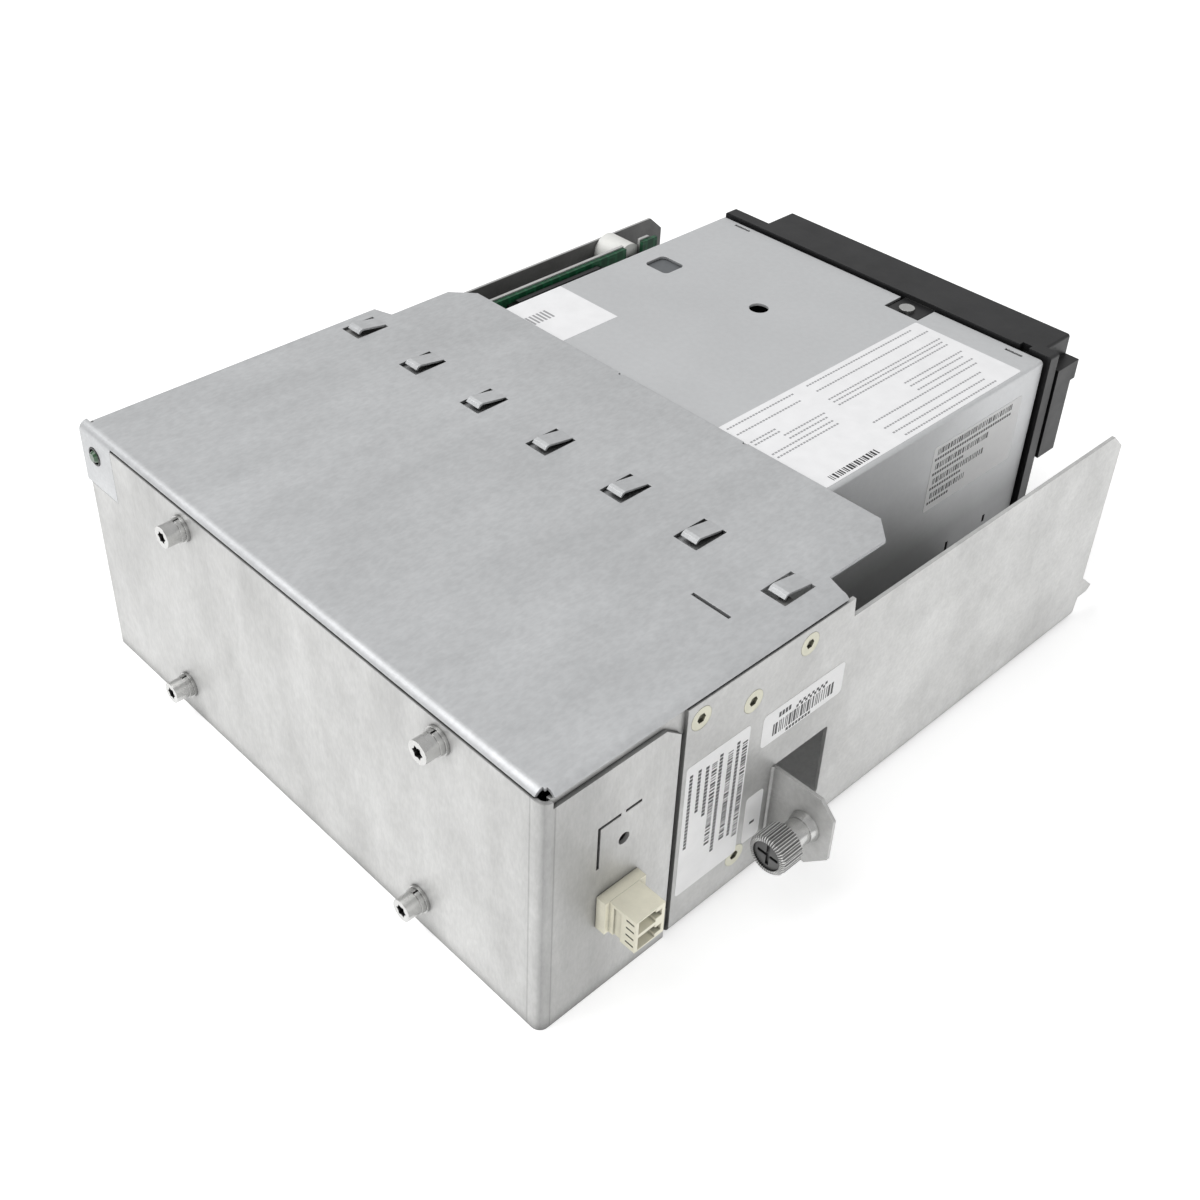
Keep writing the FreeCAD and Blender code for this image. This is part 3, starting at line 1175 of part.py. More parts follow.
def head_base():
    """Actuator under the head, with two guide posts."""
    y = [REAR + d for d in HEAD_D]
    body = block((HEAD_X[0] + 2, HEAD_X[1]), y, (DECK[1], TAPE_Z[0] - 4.0))
    posts = [rod(1.5, at(HEAD_X[1] - 3, y[0] + 4, DECK[1]), at(HEAD_X[1] - 3, y[0] + 4, ARM_Z[0] - 1.5)),
             rod(1.5, at(HEAD_X[1] - 3, y[1] - 4, DECK[1]), at(HEAD_X[1] - 3, y[1] - 4, ARM_Z[0] - 1.5))]
    return join(body, *posts)


def head():
    """Recording head on its carriage, with a rounded face towards the tape."""
    y = [REAR + d for d in HEAD_D]
    z = (TAPE_Z[0], TAPE_Z[1] + 1.0)
    carriage = block((HEAD_X[0] + 5, HEAD_X[1]), y, z)
    nose = block((HEAD_X[0], HEAD_X[0] + 6), (y[0] + 6, y[1] - 6), z)
    nose = soften(nose, 2.0, 2, lambda c: c.x < HEAD_X[0] + 0.1)
    bores = [rod(1.5 + RUN, at(HEAD_X[1] - 3, yy, z[0] - 1), at(HEAD_X[1] - 3, yy, z[1] + 1))
             for yy in (y[0] + 4, y[1] - 4)]
    return join(carriage, nose).cut(group(bores))


def threader_plate():
    """Upper deck over the take-up reel, with the threader arm's pivot under it."""
    x = (DRIVE_L + PLATE_INSET[0], DRIVE_R - PLATE_INSET[1])
    plate = block(x, [REAR + d for d in PLATE_D], (PLATE_Z, PLATE_Z + SIDE_T))
    window = rod(24.0, at(REEL[0] + 10, REAR + REEL[1], PLATE_Z - 1),
                 at(REEL[0] + 10, REAR + REEL[1], PLATE_Z + 3))
    ear_x, ear_d = PLATE_POSTS[3]
    ear = rod(POST_R + 1.0, at(ear_x, REAR + ear_d, PLATE_Z), at(ear_x, REAR + ear_d, PLATE_Z + SIDE_T))
    x, d = ARM_PIVOT
    pivot = rod(PIVOT_R, at(x, REAR + d, ARM_Z[0] - 1.4), at(x, REAR + d, PLATE_Z + 0.5))
    cap = rod(PIVOT_R + 1.3, at(x, REAR + d, ARM_Z[0] - 1.4), at(x, REAR + d, ARM_Z[0] - 0.3))
    return join(plate.cut(window), ear, pivot, cap)


def threader_arm():
    """Arm that draws the tape's leader from the cartridge round to the take-up reel."""
    x, d = ARM_PIVOT
    y = REAR + d
    reach = math.radians(ARM_START)
    tip = (x + ARM_R * math.cos(reach), y + ARM_R * math.sin(reach))
    hub = rod(PIVOT_R + 4.0, at(x, y, ARM_Z[0]), at(x, y, ARM_Z[1]))
    end = rod(4.0, at(*tip, ARM_Z[0]), at(*tip, ARM_Z[1]))
    across = (math.sin(reach), -math.cos(reach))
    bar = [(x + 5 * across[0], y + 5 * across[1]), (x - 5 * across[0], y - 5 * across[1]),
           (tip[0] - 3 * across[0], tip[1] - 3 * across[1]), (tip[0] + 3 * across[0], tip[1] + 3 * across[1])]
    pin = rod(1.5, at(*tip, TAPE_Z[0] + 1.5), at(*tip, ARM_Z[0] + 1))
    bore = rod(PIVOT_R + RUN, at(x, y, ARM_Z[0] - 1), at(x, y, ARM_Z[1] + 1))
    return join(prism("xy", bar, *ARM_Z), hub, end, pin).cut(bore)


if __name__ == "__main__":
    os.makedirs("parts", exist_ok=True)
    for maker in (tray, screw_tab, top_cover, cover_brackets, rear_panel, rear_screws, rear_washers,
                  side_screws, supply_bracket, power_supply, supply_terminals, fibre_port, port_ferrules,
                  led_holder, status_led, screw_collar, thumbscrew, knob_sleeve, screw_washer,
                  board_frame, interface_board, board_parts, board_spacers, board_screws,
                  side_bracket, drive_feet, drive_screws, drive_base, drive_case, case_boss,
                  bottom_plate, drive_board, drive_connector, bezel, door_pin, cartridge_door,
                  eject_button, front_lens, front_board, bezel_screw, cartridge_carrier,
                  loader_slider, loader_frame, supply_chuck, takeup_reel, roller_posts,
                  head_base, head, threader_plate, threader_arm):
        save(maker.__name__, maker())
    save("supply_motor", motor(CHUCK, 25.0))
    save("takeup_motor", motor(REEL, 22.0))
    for number, place in enumerate(ROLLERS, 1):
        save("guide_roller_%d" % number, roller(*place))
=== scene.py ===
"""Finishes, labels and studio of a cartridge tape drive in its library sled.

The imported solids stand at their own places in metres; +X is the port side, +Y the cartridge slot, +Z up.
"""
import math
import random

import bmesh
import bpy
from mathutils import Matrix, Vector


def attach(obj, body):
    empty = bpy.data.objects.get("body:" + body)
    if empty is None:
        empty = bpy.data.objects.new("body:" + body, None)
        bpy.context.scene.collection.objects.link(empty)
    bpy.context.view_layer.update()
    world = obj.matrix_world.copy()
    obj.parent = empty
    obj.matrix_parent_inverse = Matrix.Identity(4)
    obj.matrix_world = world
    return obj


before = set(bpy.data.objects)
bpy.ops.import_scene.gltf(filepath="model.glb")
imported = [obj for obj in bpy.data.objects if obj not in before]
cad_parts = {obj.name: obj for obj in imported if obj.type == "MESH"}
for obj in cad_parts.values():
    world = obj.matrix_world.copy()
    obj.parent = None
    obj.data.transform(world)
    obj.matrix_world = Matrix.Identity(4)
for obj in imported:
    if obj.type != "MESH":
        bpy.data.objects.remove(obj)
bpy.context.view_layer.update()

bl_info = {
    "name": "Tape Drive Sled",
    "version": (1, 0, 0),
    "blender": (4, 5, 0),
    "location": "View3D > Sidebar > Tape Drive",
    "description": "Finishes, labels and studio of a tape drive in its library sled",
    "category": "Object",
}

MM = 0.001                # one millimetre in metres

# Places of faces and axes, in millimetres.
WALL_X = 105.5            # right wall's outer face
WALL_Y = -128.0           # rear panel's outer face
DRIVE_RIGHT = 69.3        # drive's right side
DRIVE_TOP = 85.7          # drive's top
INNER_WALL_X = -104.3     # left wall's inner face
WALL_SHADOW_Y = -40.0            # middle of the painted shadow on the walls
CASE_LOW_Z = 58.0         # middle of the painted shade on the case side
KNOB_AXIS = (119.1, 26.4)  # captive screw's axis, across and up
KNURLS = 46.0             # flutes round the knob

# Bands of painted light and shade along a direction, each a place in millimetres and a factor on the
# colour.
# Painted shade on the rear panel's rounded corner, with its two dark lines.
CORNER_SHADE = ((-8.0, 1.0), (-5.2, 0.93), (-4.9, 0.66), (-4.4, 0.96), (-1.6, 0.84), (0.2, 0.62), (1.6, 0.78),
          (3.3, 0.92), (3.6, 0.66), (4.1, 1.0))
# Painted shadow on the rear panel's wrap beside the port.
WRAP_SHADOW = ((-45.0, 1.0), (-1.0, 1.0), (3.0, 0.70), (14.0, 0.71), (30.0, 0.84), (42.0, 0.95))
# Painted shadow on the right wall, from the rear to the front.
WALL_SHADE = ((-60.0, 0.92), (-30.0, 0.86), (0.0, 0.85), (25.0, 0.95), (60.0, 1.0))
# Painted shade on the left wall's inner face, which is much darker than its edges.
INNER_WALL_SHADE = ((-8.0, 1.0), (-0.5, 1.0), (-0.2, 0.25), (3.0, 0.25), (4.5, 1.0))
# Painted shade on the drive's right side, darker towards the bottom, from the bottom up.
CASE_SHADE = ((-40.0, 0.30), (-22.0, 0.42), (-8.0, 0.75), (8.0, 0.97), (20.0, 1.0))
BAND_REACH = 8.0          # half width of the painted shade bands at a corner or a face
WALL_REACH = 60.0         # half width of the right wall's painted shadow
WRAP_REACH = 45.0         # half width of the painted shadow's bands on the wrap
CASE_REACH = 40.0         # half width of the case side's painted shade

# Patterns, in repeats per metre.
CLOUDS = 34.0             # zinc's blotches
SPANGLE = 260.0           # zinc's crystals
STREAKS = 900.0           # rolling streaks
SHEET_DULL = 60.0         # dull and bright patches of sheet
SHEET_RELIEF = 700.0      # its bumps
FINE_GRAIN = 480.0        # tone of smooth metal, close up
WIDE_GRAIN = 12.0         # and from afar
METAL_DULL = 45.0
METAL_RELIEF = 1500.0
MOULD_TONE = 60.0
MOULD_DULL = 90.0
MOULD_RELIEF = 1800.0
TRACKS = 60.0             # copper tracks of a board
PAPER_TONE = 150.0
PAPER_RELIEF = 1200.0

# Crevices are darkest up to the first share of open sky and end at the second.
CREVICE_STOPS = (0.25, 0.74)
MIX_COLOURS = (6, 7)      # a colour mix's two colour inputs
MIX_RESULT = 2            # and its colour output

# Studio, in metres.
FLOOR_SIZE = 6.0
FLOOR_Z = -0.00002        # just under the tray
FLOOR_LIFT = 0.45         # glow that keeps the floor near white to the camera
WORLD_STRENGTH = 0.55
LAMP_AIM = (0.0, 0.01, 0.04)
KEY_PLACE = (-0.45, -0.55, 1.25)
KEY_SIZE = 1.1
FILL_PLACE = (0.95, -0.75, 0.55)
FILL_SIZE = 0.9
SENSOR_WIDTH = 36.0       # in millimetres
NEAREST = 0.01            # nearest distance that the camera sees

# Labels, in millimetres: places across and up from the lower rear corner of the face that they lie on.
PRINT_SHARE = 0.2         # print's thickness as a share of the label's
BAR_WIDTHS = (0.35, 0.35, 0.6, 0.9)
BAR_HEIGHTS = (0.35, 0.6, 0.9)
BAR_GAPS = (0.35, 0.5, 0.7)
BAR_END = 0.5             # a run of bars stops this far before its end
DASH_PITCH = 1.35         # one dash and one gap of a broken rule
DASH_SHARE = 0.72         # dash's share of the pitch
TOP_RULE = 0.7            # width of a rule on the drive's top label

# Three labels of the right wall: name, places across, places up, corner radius (none: as in the settings).
WALL_STOCK = (("wall_label_tall", (49.9, 74.6), (14.0, 63.5), None),
              ("wall_label_wide", (80.0, 114.7), (50.5, 62.4), 1.6),
              ("wall_label_small", (77.0, 84.2), (15.0, 33.2), 1.2))
TALL_TOPS = (58.5, 60.5)  # top ends of the tall label's columns of bars and of its broken rules
# Start and low end of the tall label's columns of bars, which are all equally wide.
TALL_COLUMNS = ((72.0, 22.0), (66.3, 24.3), (60.0, 27.0))
COLUMN_WIDTH = 2.0
# Start, width and low end of the tall label's broken rules.
TALL_RULES = ((69.6, 1.2, 24.0), (62.9, 1.3, 22.6), (57.6, 1.3, 40.5), (54.6, 1.2, 44.0), (51.3, 1.2, 32.0))
# Start and both ends of the rules on the drive's top label.
TOP_RULES = ((26.6, 188.0, 246.0), (30.8, 188.0, 249.0), (36.6, 187.0, 248.5), (38.6, 187.0, 247.0),
             (40.8, 187.0, 247.5), (46.6, 214.0, 247.0), (49.0, 214.0, 244.0), (52.0, 214.0, 246.0),
             (54.6, 187.0, 244.0), (59.0, 187.0, 240.0), (62.4, 187.0, 238.0), (65.6, 189.0, 240.0),
             (26.8, 149.0, 182.0), (31.0, 149.0, 181.0), (36.6, 149.0, 162.0), (38.4, 149.0, 162.0),
             (40.8, 160.0, 181.0), (43.0, 160.0, 180.0), (45.4, 149.0, 180.0), (47.6, 149.0, 179.0))
SIDE_ENDS = (247.5, 234.5, 234.0, 225.0)  # far ends of the side label's four rows of bars
SIDE_TOP = 75.0           # top of its first row
SIDE_STEP = 5.8           # from one row to the next
SIDE_BAR = 2.3            # height of its bars
SIDE_START = 205.0        # where its bars start
SIDE_RULE_START = 204.0   # where its broken rules start
SIDE_RULE = (4.4, 3.4)    # a broken rule's two edges below its row's top
SIDE_SHORTER = 0.4        # share by which every rule but the first is shorter than its row
# Broken rules of the right wall's wide and small labels: across, up, and whether they run across.
WALL_RULES = (((86.6, 92.4), (58.4, 60.2), True), ((90.5, 102.5), (50.9, 52.0), True),
              ((79.6, 81.6), (21.4, 24.0), False))
WIDE_BARS = (52.6, (84.6, 110.6), 4.4)  # the wide label's bars: start up, places across, height
WIDE_CHECKS = ((94.0, 108.0), (57.4, 60.2), 0.95)  # its patch of checks: across, up, size
# The corner label's short bars.
CORNER_BARS = (-66.2, -60.6)
CORNER_BAR_COUNT = 6
CORNER_BAR_START = 148.0
CORNER_BAR_PITCH = 1.7
CORNER_BAR_HEIGHT = 0.9
# Seeds of the bars' random widths.
WIDE_SEED = 7
SIDE_SEED = 20
TOP_SEED = 40


# ---- settings --------------------------------------------------------------------------------
def colour(name, description, value):
    """A colour setting."""
    return bpy.props.FloatVectorProperty(name=name, description=description, subtype="COLOR",
                                         size=3, min=0.0, max=1.0, default=value)


def length(name, description, value):
    """A length setting in metres."""
    return bpy.props.FloatProperty(name=name, description=description, unit="LENGTH", default=value)


class MetalSettings(bpy.types.PropertyGroup):
    """Colours of the metal parts."""
    cover: colour("Cover", "Zinc-coated lid", (0.66, 0.67, 0.68))
    panel: colour("Panels", "Zinc-coated tray and rear panel", (0.68, 0.68, 0.67))
    case: colour("Drive case", "Smooth pressed case of the drive", (0.69, 0.70, 0.71))
    casting: colour("Casting", "Cast base of the drive", (0.20, 0.21, 0.22))
    bright: colour("Bright parts", "Plated screws, knob and collar", (0.62, 0.62, 0.61))
    blackened: colour("Knob screw", "Dark head and shank of the captive screw", (0.16, 0.16, 0.16))
    passivated: colour("Flat-head screws", "Yellow passivated screws", (0.62, 0.61, 0.50))
    edge_radius: length("Edge radius", "Rounding seen on cut edges", 0.25 * MM)


class PlasticSettings(bpy.types.PropertyGroup):
    """Colours of the plastic parts."""
    bezel: colour("Bezel", "Black front bezel", (0.014, 0.014, 0.015))
    adapter: colour("Fibre port", "Beige duplex port", (0.86, 0.83, 0.68))
    nylon: colour("Spacers", "White nylon", (0.80, 0.80, 0.77))
    board: colour("Boards", "Green solder mask", (0.008, 0.060, 0.026))
    lamp: colour("Lamp", "Green lamp lens", (0.022, 0.085, 0.030))


class LabelSettings(bpy.types.PropertyGroup):
    """Stock and print of the plain labels."""
    stock: colour("Stock", "Paper of the labels", (0.90, 0.90, 0.91))
    wall_stock: colour("Wall stock", "Greyer film of the labels on the walls", (0.86, 0.86, 0.86))
    bars: colour("Bars", "Dark bars and rules on the labels", (0.025, 0.025, 0.028))
    faint: colour("Faint rules", "Pale grey rules on the drive's top label", (0.36, 0.36, 0.37))
    thickness: length("Thickness", "Label thickness", 0.10 * MM)
    corner: length("Corner", "Corner radius of the labels", 1.2 * MM)


class StageSettings(bpy.types.PropertyGroup):
    """Camera, lamps and floor."""
    camera_place: bpy.props.FloatVectorProperty(
        name="Camera place", description="Where the camera stands", subtype="TRANSLATION",
        unit="LENGTH", default=(0.28434, -0.29751, 0.34946))
    camera_turn: bpy.props.FloatVectorProperty(
        name="Camera turn", description="Camera rotation about X, Y and Z", subtype="EULER",
        unit="ROTATION", default=tuple(math.radians(a) for a in (53.66, -1.70, 46.42)))
    lens: bpy.props.FloatProperty(name="Lens", description="Focal length in millimetres", default=46.59)
    shift: bpy.props.FloatVectorProperty(name="Shift", description="Lens shift across and up",
                                         size=2, default=(0.0162, -0.0700))
    floor: colour("Floor", "Pale studio floor", (0.86, 0.86, 0.86))
    key_power: bpy.props.FloatProperty(name="Key lamp", description="Power in watts", default=9.5)
    fill_power: bpy.props.FloatProperty(name="Fill lamp", description="Power in watts", default=4.4)


# ---- materials ---------------------------------------------------------------------------------
def add(tree, kind, sockets=None, **fields):
    """A shader node with its fields set and its inputs filled or linked."""
    node = tree.nodes.new(kind)
    for field, value in fields.items():
        setattr(node, field, value)
    for socket, value in (sockets or {}).items():
        if isinstance(value, bpy.types.NodeSocket):
            tree.links.new(value, node.inputs[socket])
        else:
            node.inputs[socket].default_value = value
    return node


def shaded(name, **sockets):
    """A new material and its principled shader, with plain inputs set by name."""
    material = bpy.data.materials.new(name)
    material.use_nodes = True
    shader = material.node_tree.nodes["Principled BSDF"]
    for socket, value in sockets.items():
        shader.inputs[socket.replace("_", " ")].default_value = value
    return material, material.node_tree, shader


def blotches(tree, scale, stretch=(1, 1, 1), detail=5.0, roughness=0.6):
    """A noise pattern in the part's own space, from 0 to 1."""
    place = add(tree, "ShaderNodeTexCoord").outputs["Object"]
    mapping = add(tree, "ShaderNodeMapping", {"Vector": place, "Scale": stretch})
    noise = add(tree, "ShaderNodeTexNoise", {"Vector": mapping.outputs["Vector"], "Scale": scale,
                                             "Detail": detail, "Roughness": roughness})
    return noise.outputs["Fac"]


def ramp(tree, value, low, high, start=0.35, end=0.65):
    """Two colours mixed by a value between two stops."""
    node = add(tree, "ShaderNodeValToRGB", {"Fac": value})
    node.color_ramp.elements[0].position = start
    node.color_ramp.elements[0].color = (*low, 1.0)
    node.color_ramp.elements[1].position = end
    node.color_ramp.elements[1].color = (*high, 1.0)
    return node.outputs["Color"]


def span(tree, value, low, high, start=0.3, end=0.7):
    """A value mapped from one range to another."""
    node = add(tree, "ShaderNodeMapRange", {"Value": value, "From Min": start, "From Max": end,
                                            "To Min": low, "To Max": high})
    return node.outputs["Result"]


def grey(level):
    """A neutral colour."""
    return (level, level, level)


def shade(rgb, factor):
    """A colour made lighter or darker."""
    return tuple(min(1.0, c * factor) for c in rgb)


def mixed(tree, factor, a, b):
    """Two colours multiplied together by a factor."""
    node = add(tree, "ShaderNodeMix", {0: factor}, data_type="RGBA", blend_type="MULTIPLY")
    for socket, colour in zip(MIX_COLOURS, (a, b)):
        tree.links.new(colour, node.inputs[socket])
    return node.outputs[MIX_RESULT]


def crevice(tree, colour, reach=0.008, floor=0.04):
    """Darkens a colour in slots, holes and seams, where little light reaches."""
    open_sky = add(tree, "ShaderNodeAmbientOcclusion", {"Distance": reach}, samples=6)
    dark = ramp(tree, open_sky.outputs["AO"], grey(floor), grey(1.0), *CREVICE_STOPS)
    return mixed(tree, 1.0, colour, dark)


def place_along(tree, x=0.0, y=0.0, z=0.0, start=0.0):
    """Distance in metres along a direction from the plane that lies start along it."""
    place = add(tree, "ShaderNodeTexCoord").outputs["Object"]
    dot = add(tree, "ShaderNodeVectorMath", {0: place, 1: (x, y, z)}, operation="DOT_PRODUCT")
    return add(tree, "ShaderNodeMath", {0: dot.outputs["Value"], 1: start}, operation="SUBTRACT").outputs[0]


def bands(tree, value, width, stops):
    """Grey factors at places given in millimetres either side of zero, over a width each way."""
    scaled = span(tree, value, 0.0, 1.0, -width * MM, width * MM)
    node = add(tree, "ShaderNodeValToRGB", {"Fac": scaled})
    points = node.color_ramp.elements
    while len(points) < len(stops):
        points.new(0.5)
    for point, (place, level) in zip(points, stops):
        point.position = 0.5 + 0.5 * place / width
        point.color = (*grey(level), 1.0)
    return node.outputs["Color"]


def paint_shading(tree, colour, painted_shading):
    """Paints light and shade over a colour: each entry's bands of grey, along the entry's direction."""
    for direction, start, width, stops in painted_shading:
        colour = mixed(tree, 1.0, colour, bands(tree, place_along(tree, *direction, start), width, stops))
    return colour


def relief(tree, shader, height, strength, distance, edge=0.0):
    """Bump from a pattern, over softened edges where a radius is given."""
    sockets = {"Height": height, "Strength": strength, "Distance": distance}
    if edge:
        bevel = add(tree, "ShaderNodeBevel", {"Radius": edge}, samples=4)
        sockets["Normal"] = bevel.outputs["Normal"]
    bump = add(tree, "ShaderNodeBump", sockets)
    tree.links.new(bump.outputs["Normal"], shader.inputs["Normal"])


def zinc_sheet(name, base, stretch, contrast, edge, painted_shading=()):
    """Zinc-coated sheet: cloudy blotches, fine spangle and faint rolling streaks.

    Each painted shading entry is a direction, its start and the bands of painted light and shade laid along
    it.
    """
    material, tree, shader = shaded(name, Metallic=0.55, Roughness=0.45)
    clouds = ramp(tree, blotches(tree, CLOUDS, stretch, 7.0, 0.62), shade(base, 1.0 - contrast),
                  shade(base, 1.0 + 0.5 * contrast))
    place = add(tree, "ShaderNodeTexCoord").outputs["Object"]
    spangle = add(tree, "ShaderNodeTexVoronoi", {"Vector": place, "Scale": SPANGLE})
    flecks = ramp(tree, spangle.outputs["Distance"], grey(0.93), grey(1.0), 0.1, 0.9)
    grain = ramp(tree, blotches(tree, STREAKS, stretch, 2.0), grey(0.90), grey(1.0))
    tint = mixed(tree, 0.8, clouds, flecks)
    tint = paint_shading(tree, mixed(tree, 0.8, tint, grain), painted_shading)
    tree.links.new(crevice(tree, tint), shader.inputs["Base Color"])
    dull = span(tree, blotches(tree, SHEET_DULL, stretch), 0.36, 0.54)
    tree.links.new(dull, shader.inputs["Roughness"])
    relief(tree, shader, blotches(tree, SHEET_RELIEF, stretch, 3.0), 0.10, 0.0002, edge)
    return material


def smooth_metal(name, base, metallic, roughness, edge=0.0, grain=0.04, painted_shading=()):
    """Plain pressed, cast or plated metal with a fine grain."""
    material, tree, shader = shaded(name, Metallic=metallic, Roughness=roughness)
    fine = ramp(tree, blotches(tree, FINE_GRAIN), shade(base, 1.0 - grain), shade(base, 1.0 + grain))
    wide = ramp(tree, blotches(tree, WIDE_GRAIN, detail=3.0), grey(0.95), grey(1.0))
    tint = paint_shading(tree, mixed(tree, 1.0, fine, wide), painted_shading)
    tree.links.new(crevice(tree, tint), shader.inputs["Base Color"])
    dull = span(tree, blotches(tree, METAL_DULL), roughness - 0.05, roughness + 0.06)
    tree.links.new(dull, shader.inputs["Roughness"])
    relief(tree, shader, blotches(tree, METAL_RELIEF), 0.06, 0.0001, edge)
    return material


def knurled(name, base):
    """Plated sleeve with fine flutes all round, with painted shade in the flutes and painted highlight on
    their ridges.
    """
    material, tree, shader = shaded(name, Metallic=0.85, Roughness=0.32)
    across = place_along(tree, x=1.0, start=KNOB_AXIS[0] * MM)
    up = place_along(tree, z=1.0, start=KNOB_AXIS[1] * MM)
    turn = add(tree, "ShaderNodeMath", {0: up, 1: across}, operation="ARCTAN2").outputs[0]
    phase = add(tree, "ShaderNodeMath", {0: turn, 1: KNURLS}, operation="MULTIPLY").outputs[0]
    wave = add(tree, "ShaderNodeMath", {0: phase}, operation="SINE").outputs[0]
    # Painted shade in the flutes and painted highlight on their ridges, following the flutes round the
    # axis.
    tone = ramp(tree, wave, shade(base, 0.35), shade(base, 1.25), 0.0, 0.8)
    tree.links.new(crevice(tree, tone), shader.inputs["Base Color"])
    relief(tree, shader, wave, 0.8, 0.0003)
    return material


def moulding(name, base, roughness, pebble=0.10, edge=0.0, **sockets):
    """Moulded plastic with a fine moulded texture."""
    material, tree, shader = shaded(name, Roughness=roughness, **sockets)
    tone = ramp(tree, blotches(tree, MOULD_TONE), shade(base, 0.9), shade(base, 1.1))
    tree.links.new(crevice(tree, tone, 0.004), shader.inputs["Base Color"])
    dull = span(tree, blotches(tree, MOULD_DULL), roughness - 0.05, roughness + 0.07)
    tree.links.new(dull, shader.inputs["Roughness"])
    relief(tree, shader, blotches(tree, MOULD_RELIEF, detail=2.0), pebble, 0.0001, edge)
    return material


def circuit(name, base):
    """Solder mask over copper tracks."""
    material, tree, shader = shaded(name, Roughness=0.35)
    place = add(tree, "ShaderNodeTexCoord").outputs["Object"]
    turned = add(tree, "ShaderNodeMapping", {"Vector": place, "Rotation": (0.0, math.pi / 2, 0.0)})
    tracks = add(tree, "ShaderNodeTexBrick", {"Vector": turned.outputs["Vector"], "Scale": TRACKS,
                                              "Color1": (*base, 1.0), "Color2": (*shade(base, 1.3), 1.0),
                                              "Mortar": (*shade(base, 1.9), 1.0), "Mortar Size": 0.03})
    tree.links.new(tracks.outputs["Color"], shader.inputs["Base Color"])
    relief(tree, shader, tracks.outputs["Fac"], 0.15, 0.0001)
    return material


def paper(name, base):
    """Satin label stock."""
    material, tree, shader = shaded(name, Roughness=0.42)
    tone = ramp(tree, blotches(tree, PAPER_TONE), shade(base, 0.97), shade(base, 1.02))
    tree.links.new(tone, shader.inputs["Base Color"])
    relief(tree, shader, blotches(tree, PAPER_RELIEF), 0.04, 0.0001)
    return material


def dress(material, *nodes):
    """Gives the named solids one material."""
    for node in nodes:
        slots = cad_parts[node].data.materials
        slots.clear()
        slots.append(material)


# ---- meshes --------------------------------------------------------------------------------------
def make_object(name, mesh, material, body="root"):
    """Links a finished bmesh as a piece that rides on a body."""
    data = bpy.data.meshes.new(name)
    mesh.to_mesh(data)
    mesh.free()
    data.materials.append(material)
    piece = bpy.data.objects.new(name, data)
    bpy.context.scene.collection.objects.link(piece)
    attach(piece, body)
    return piece


def rounded(width, height, radius, steps=4):
    """Corners of a rounded rectangle about its middle, anticlockwise."""
    points = []
    for quarter, (sx, sy) in enumerate(((1, 1), (-1, 1), (-1, -1), (1, -1))):
        for i in range(steps + 1):
            angle = math.pi / 2 * (quarter + i / steps)
            points.append((sx * (width / 2 - radius) + radius * math.cos(angle),
                           sy * (height / 2 - radius) + radius * math.sin(angle)))
    return points


def add_plate(mesh, outline, place, across, up, thickness):
    """Adds a thin plate: an outline in the plane of two directions, raised along their normal."""
    normal = across.cross(up).normalized()
    low = [mesh.verts.new(place + across * u + up * v) for u, v in outline]
    high = [mesh.verts.new(v.co + normal * thickness) for v in low]
    mesh.faces.new(list(reversed(low)))
    mesh.faces.new(high)
    count = len(outline)
    for i in range(count):
        j = (i + 1) % count
        mesh.faces.new((low[i], low[j], high[j], high[i]))


class Sheet:
    """A flat face that labels lie on, measured in millimetres across and up from its own corner."""

    def __init__(self, corner, across, up):
        self.corner = Vector(corner) * MM
        self.across = Vector(across)
        self.up = Vector(up)

    def outline(self, mesh, points, level, thickness):
        """Adds a plate with the given corners at a level above the face."""
        normal = self.across.cross(self.up)
        place = self.corner + normal * level
        add_plate(mesh, [(u * MM, v * MM) for u, v in points], place, self.across, self.up, thickness)

    def box(self, mesh, u, v, level, thickness, corner=0.0):
        """Adds a rectangular plate between two places each way, rounded by a corner radius."""
        middle = ((u[0] + u[1]) / 2, (v[0] + v[1]) / 2)
        size = (u[1] - u[0], v[1] - v[0])
        if corner:
            points = rounded(*size, corner)
        else:
            points = [(x * size[0] / 2, y * size[1] / 2) for x, y in ((1, 1), (-1, 1), (-1, -1), (1, -1))]
        self.outline(mesh, [(middle[0] + x, middle[1] + y) for x, y in points], level, thickness)


def bar_row(mesh, sheet, start, across, height, seed, level, thickness):
    """A row of plain upright bars of mixed width from one place to the next."""
    dice = random.Random(seed)
    u = across[0]
    while u < across[1] - BAR_END:
        wide = dice.choice(BAR_WIDTHS)
        sheet.box(mesh, (u, min(u + wide, across[1])), (start, start + height), level, thickness)
        u += wide + dice.choice(BAR_GAPS)


def bar_column(mesh, sheet, start, up, width, seed, level, thickness):
    """A column of plain level bars of mixed height from one place down to the next."""
    dice = random.Random(seed)
    v = up[1]
    while v > up[0] + BAR_END:
        tall = dice.choice(BAR_HEIGHTS)
        sheet.box(mesh, (start, start + width), (max(v - tall, up[0]), v), level, thickness)
        v -= tall + dice.choice(BAR_GAPS)


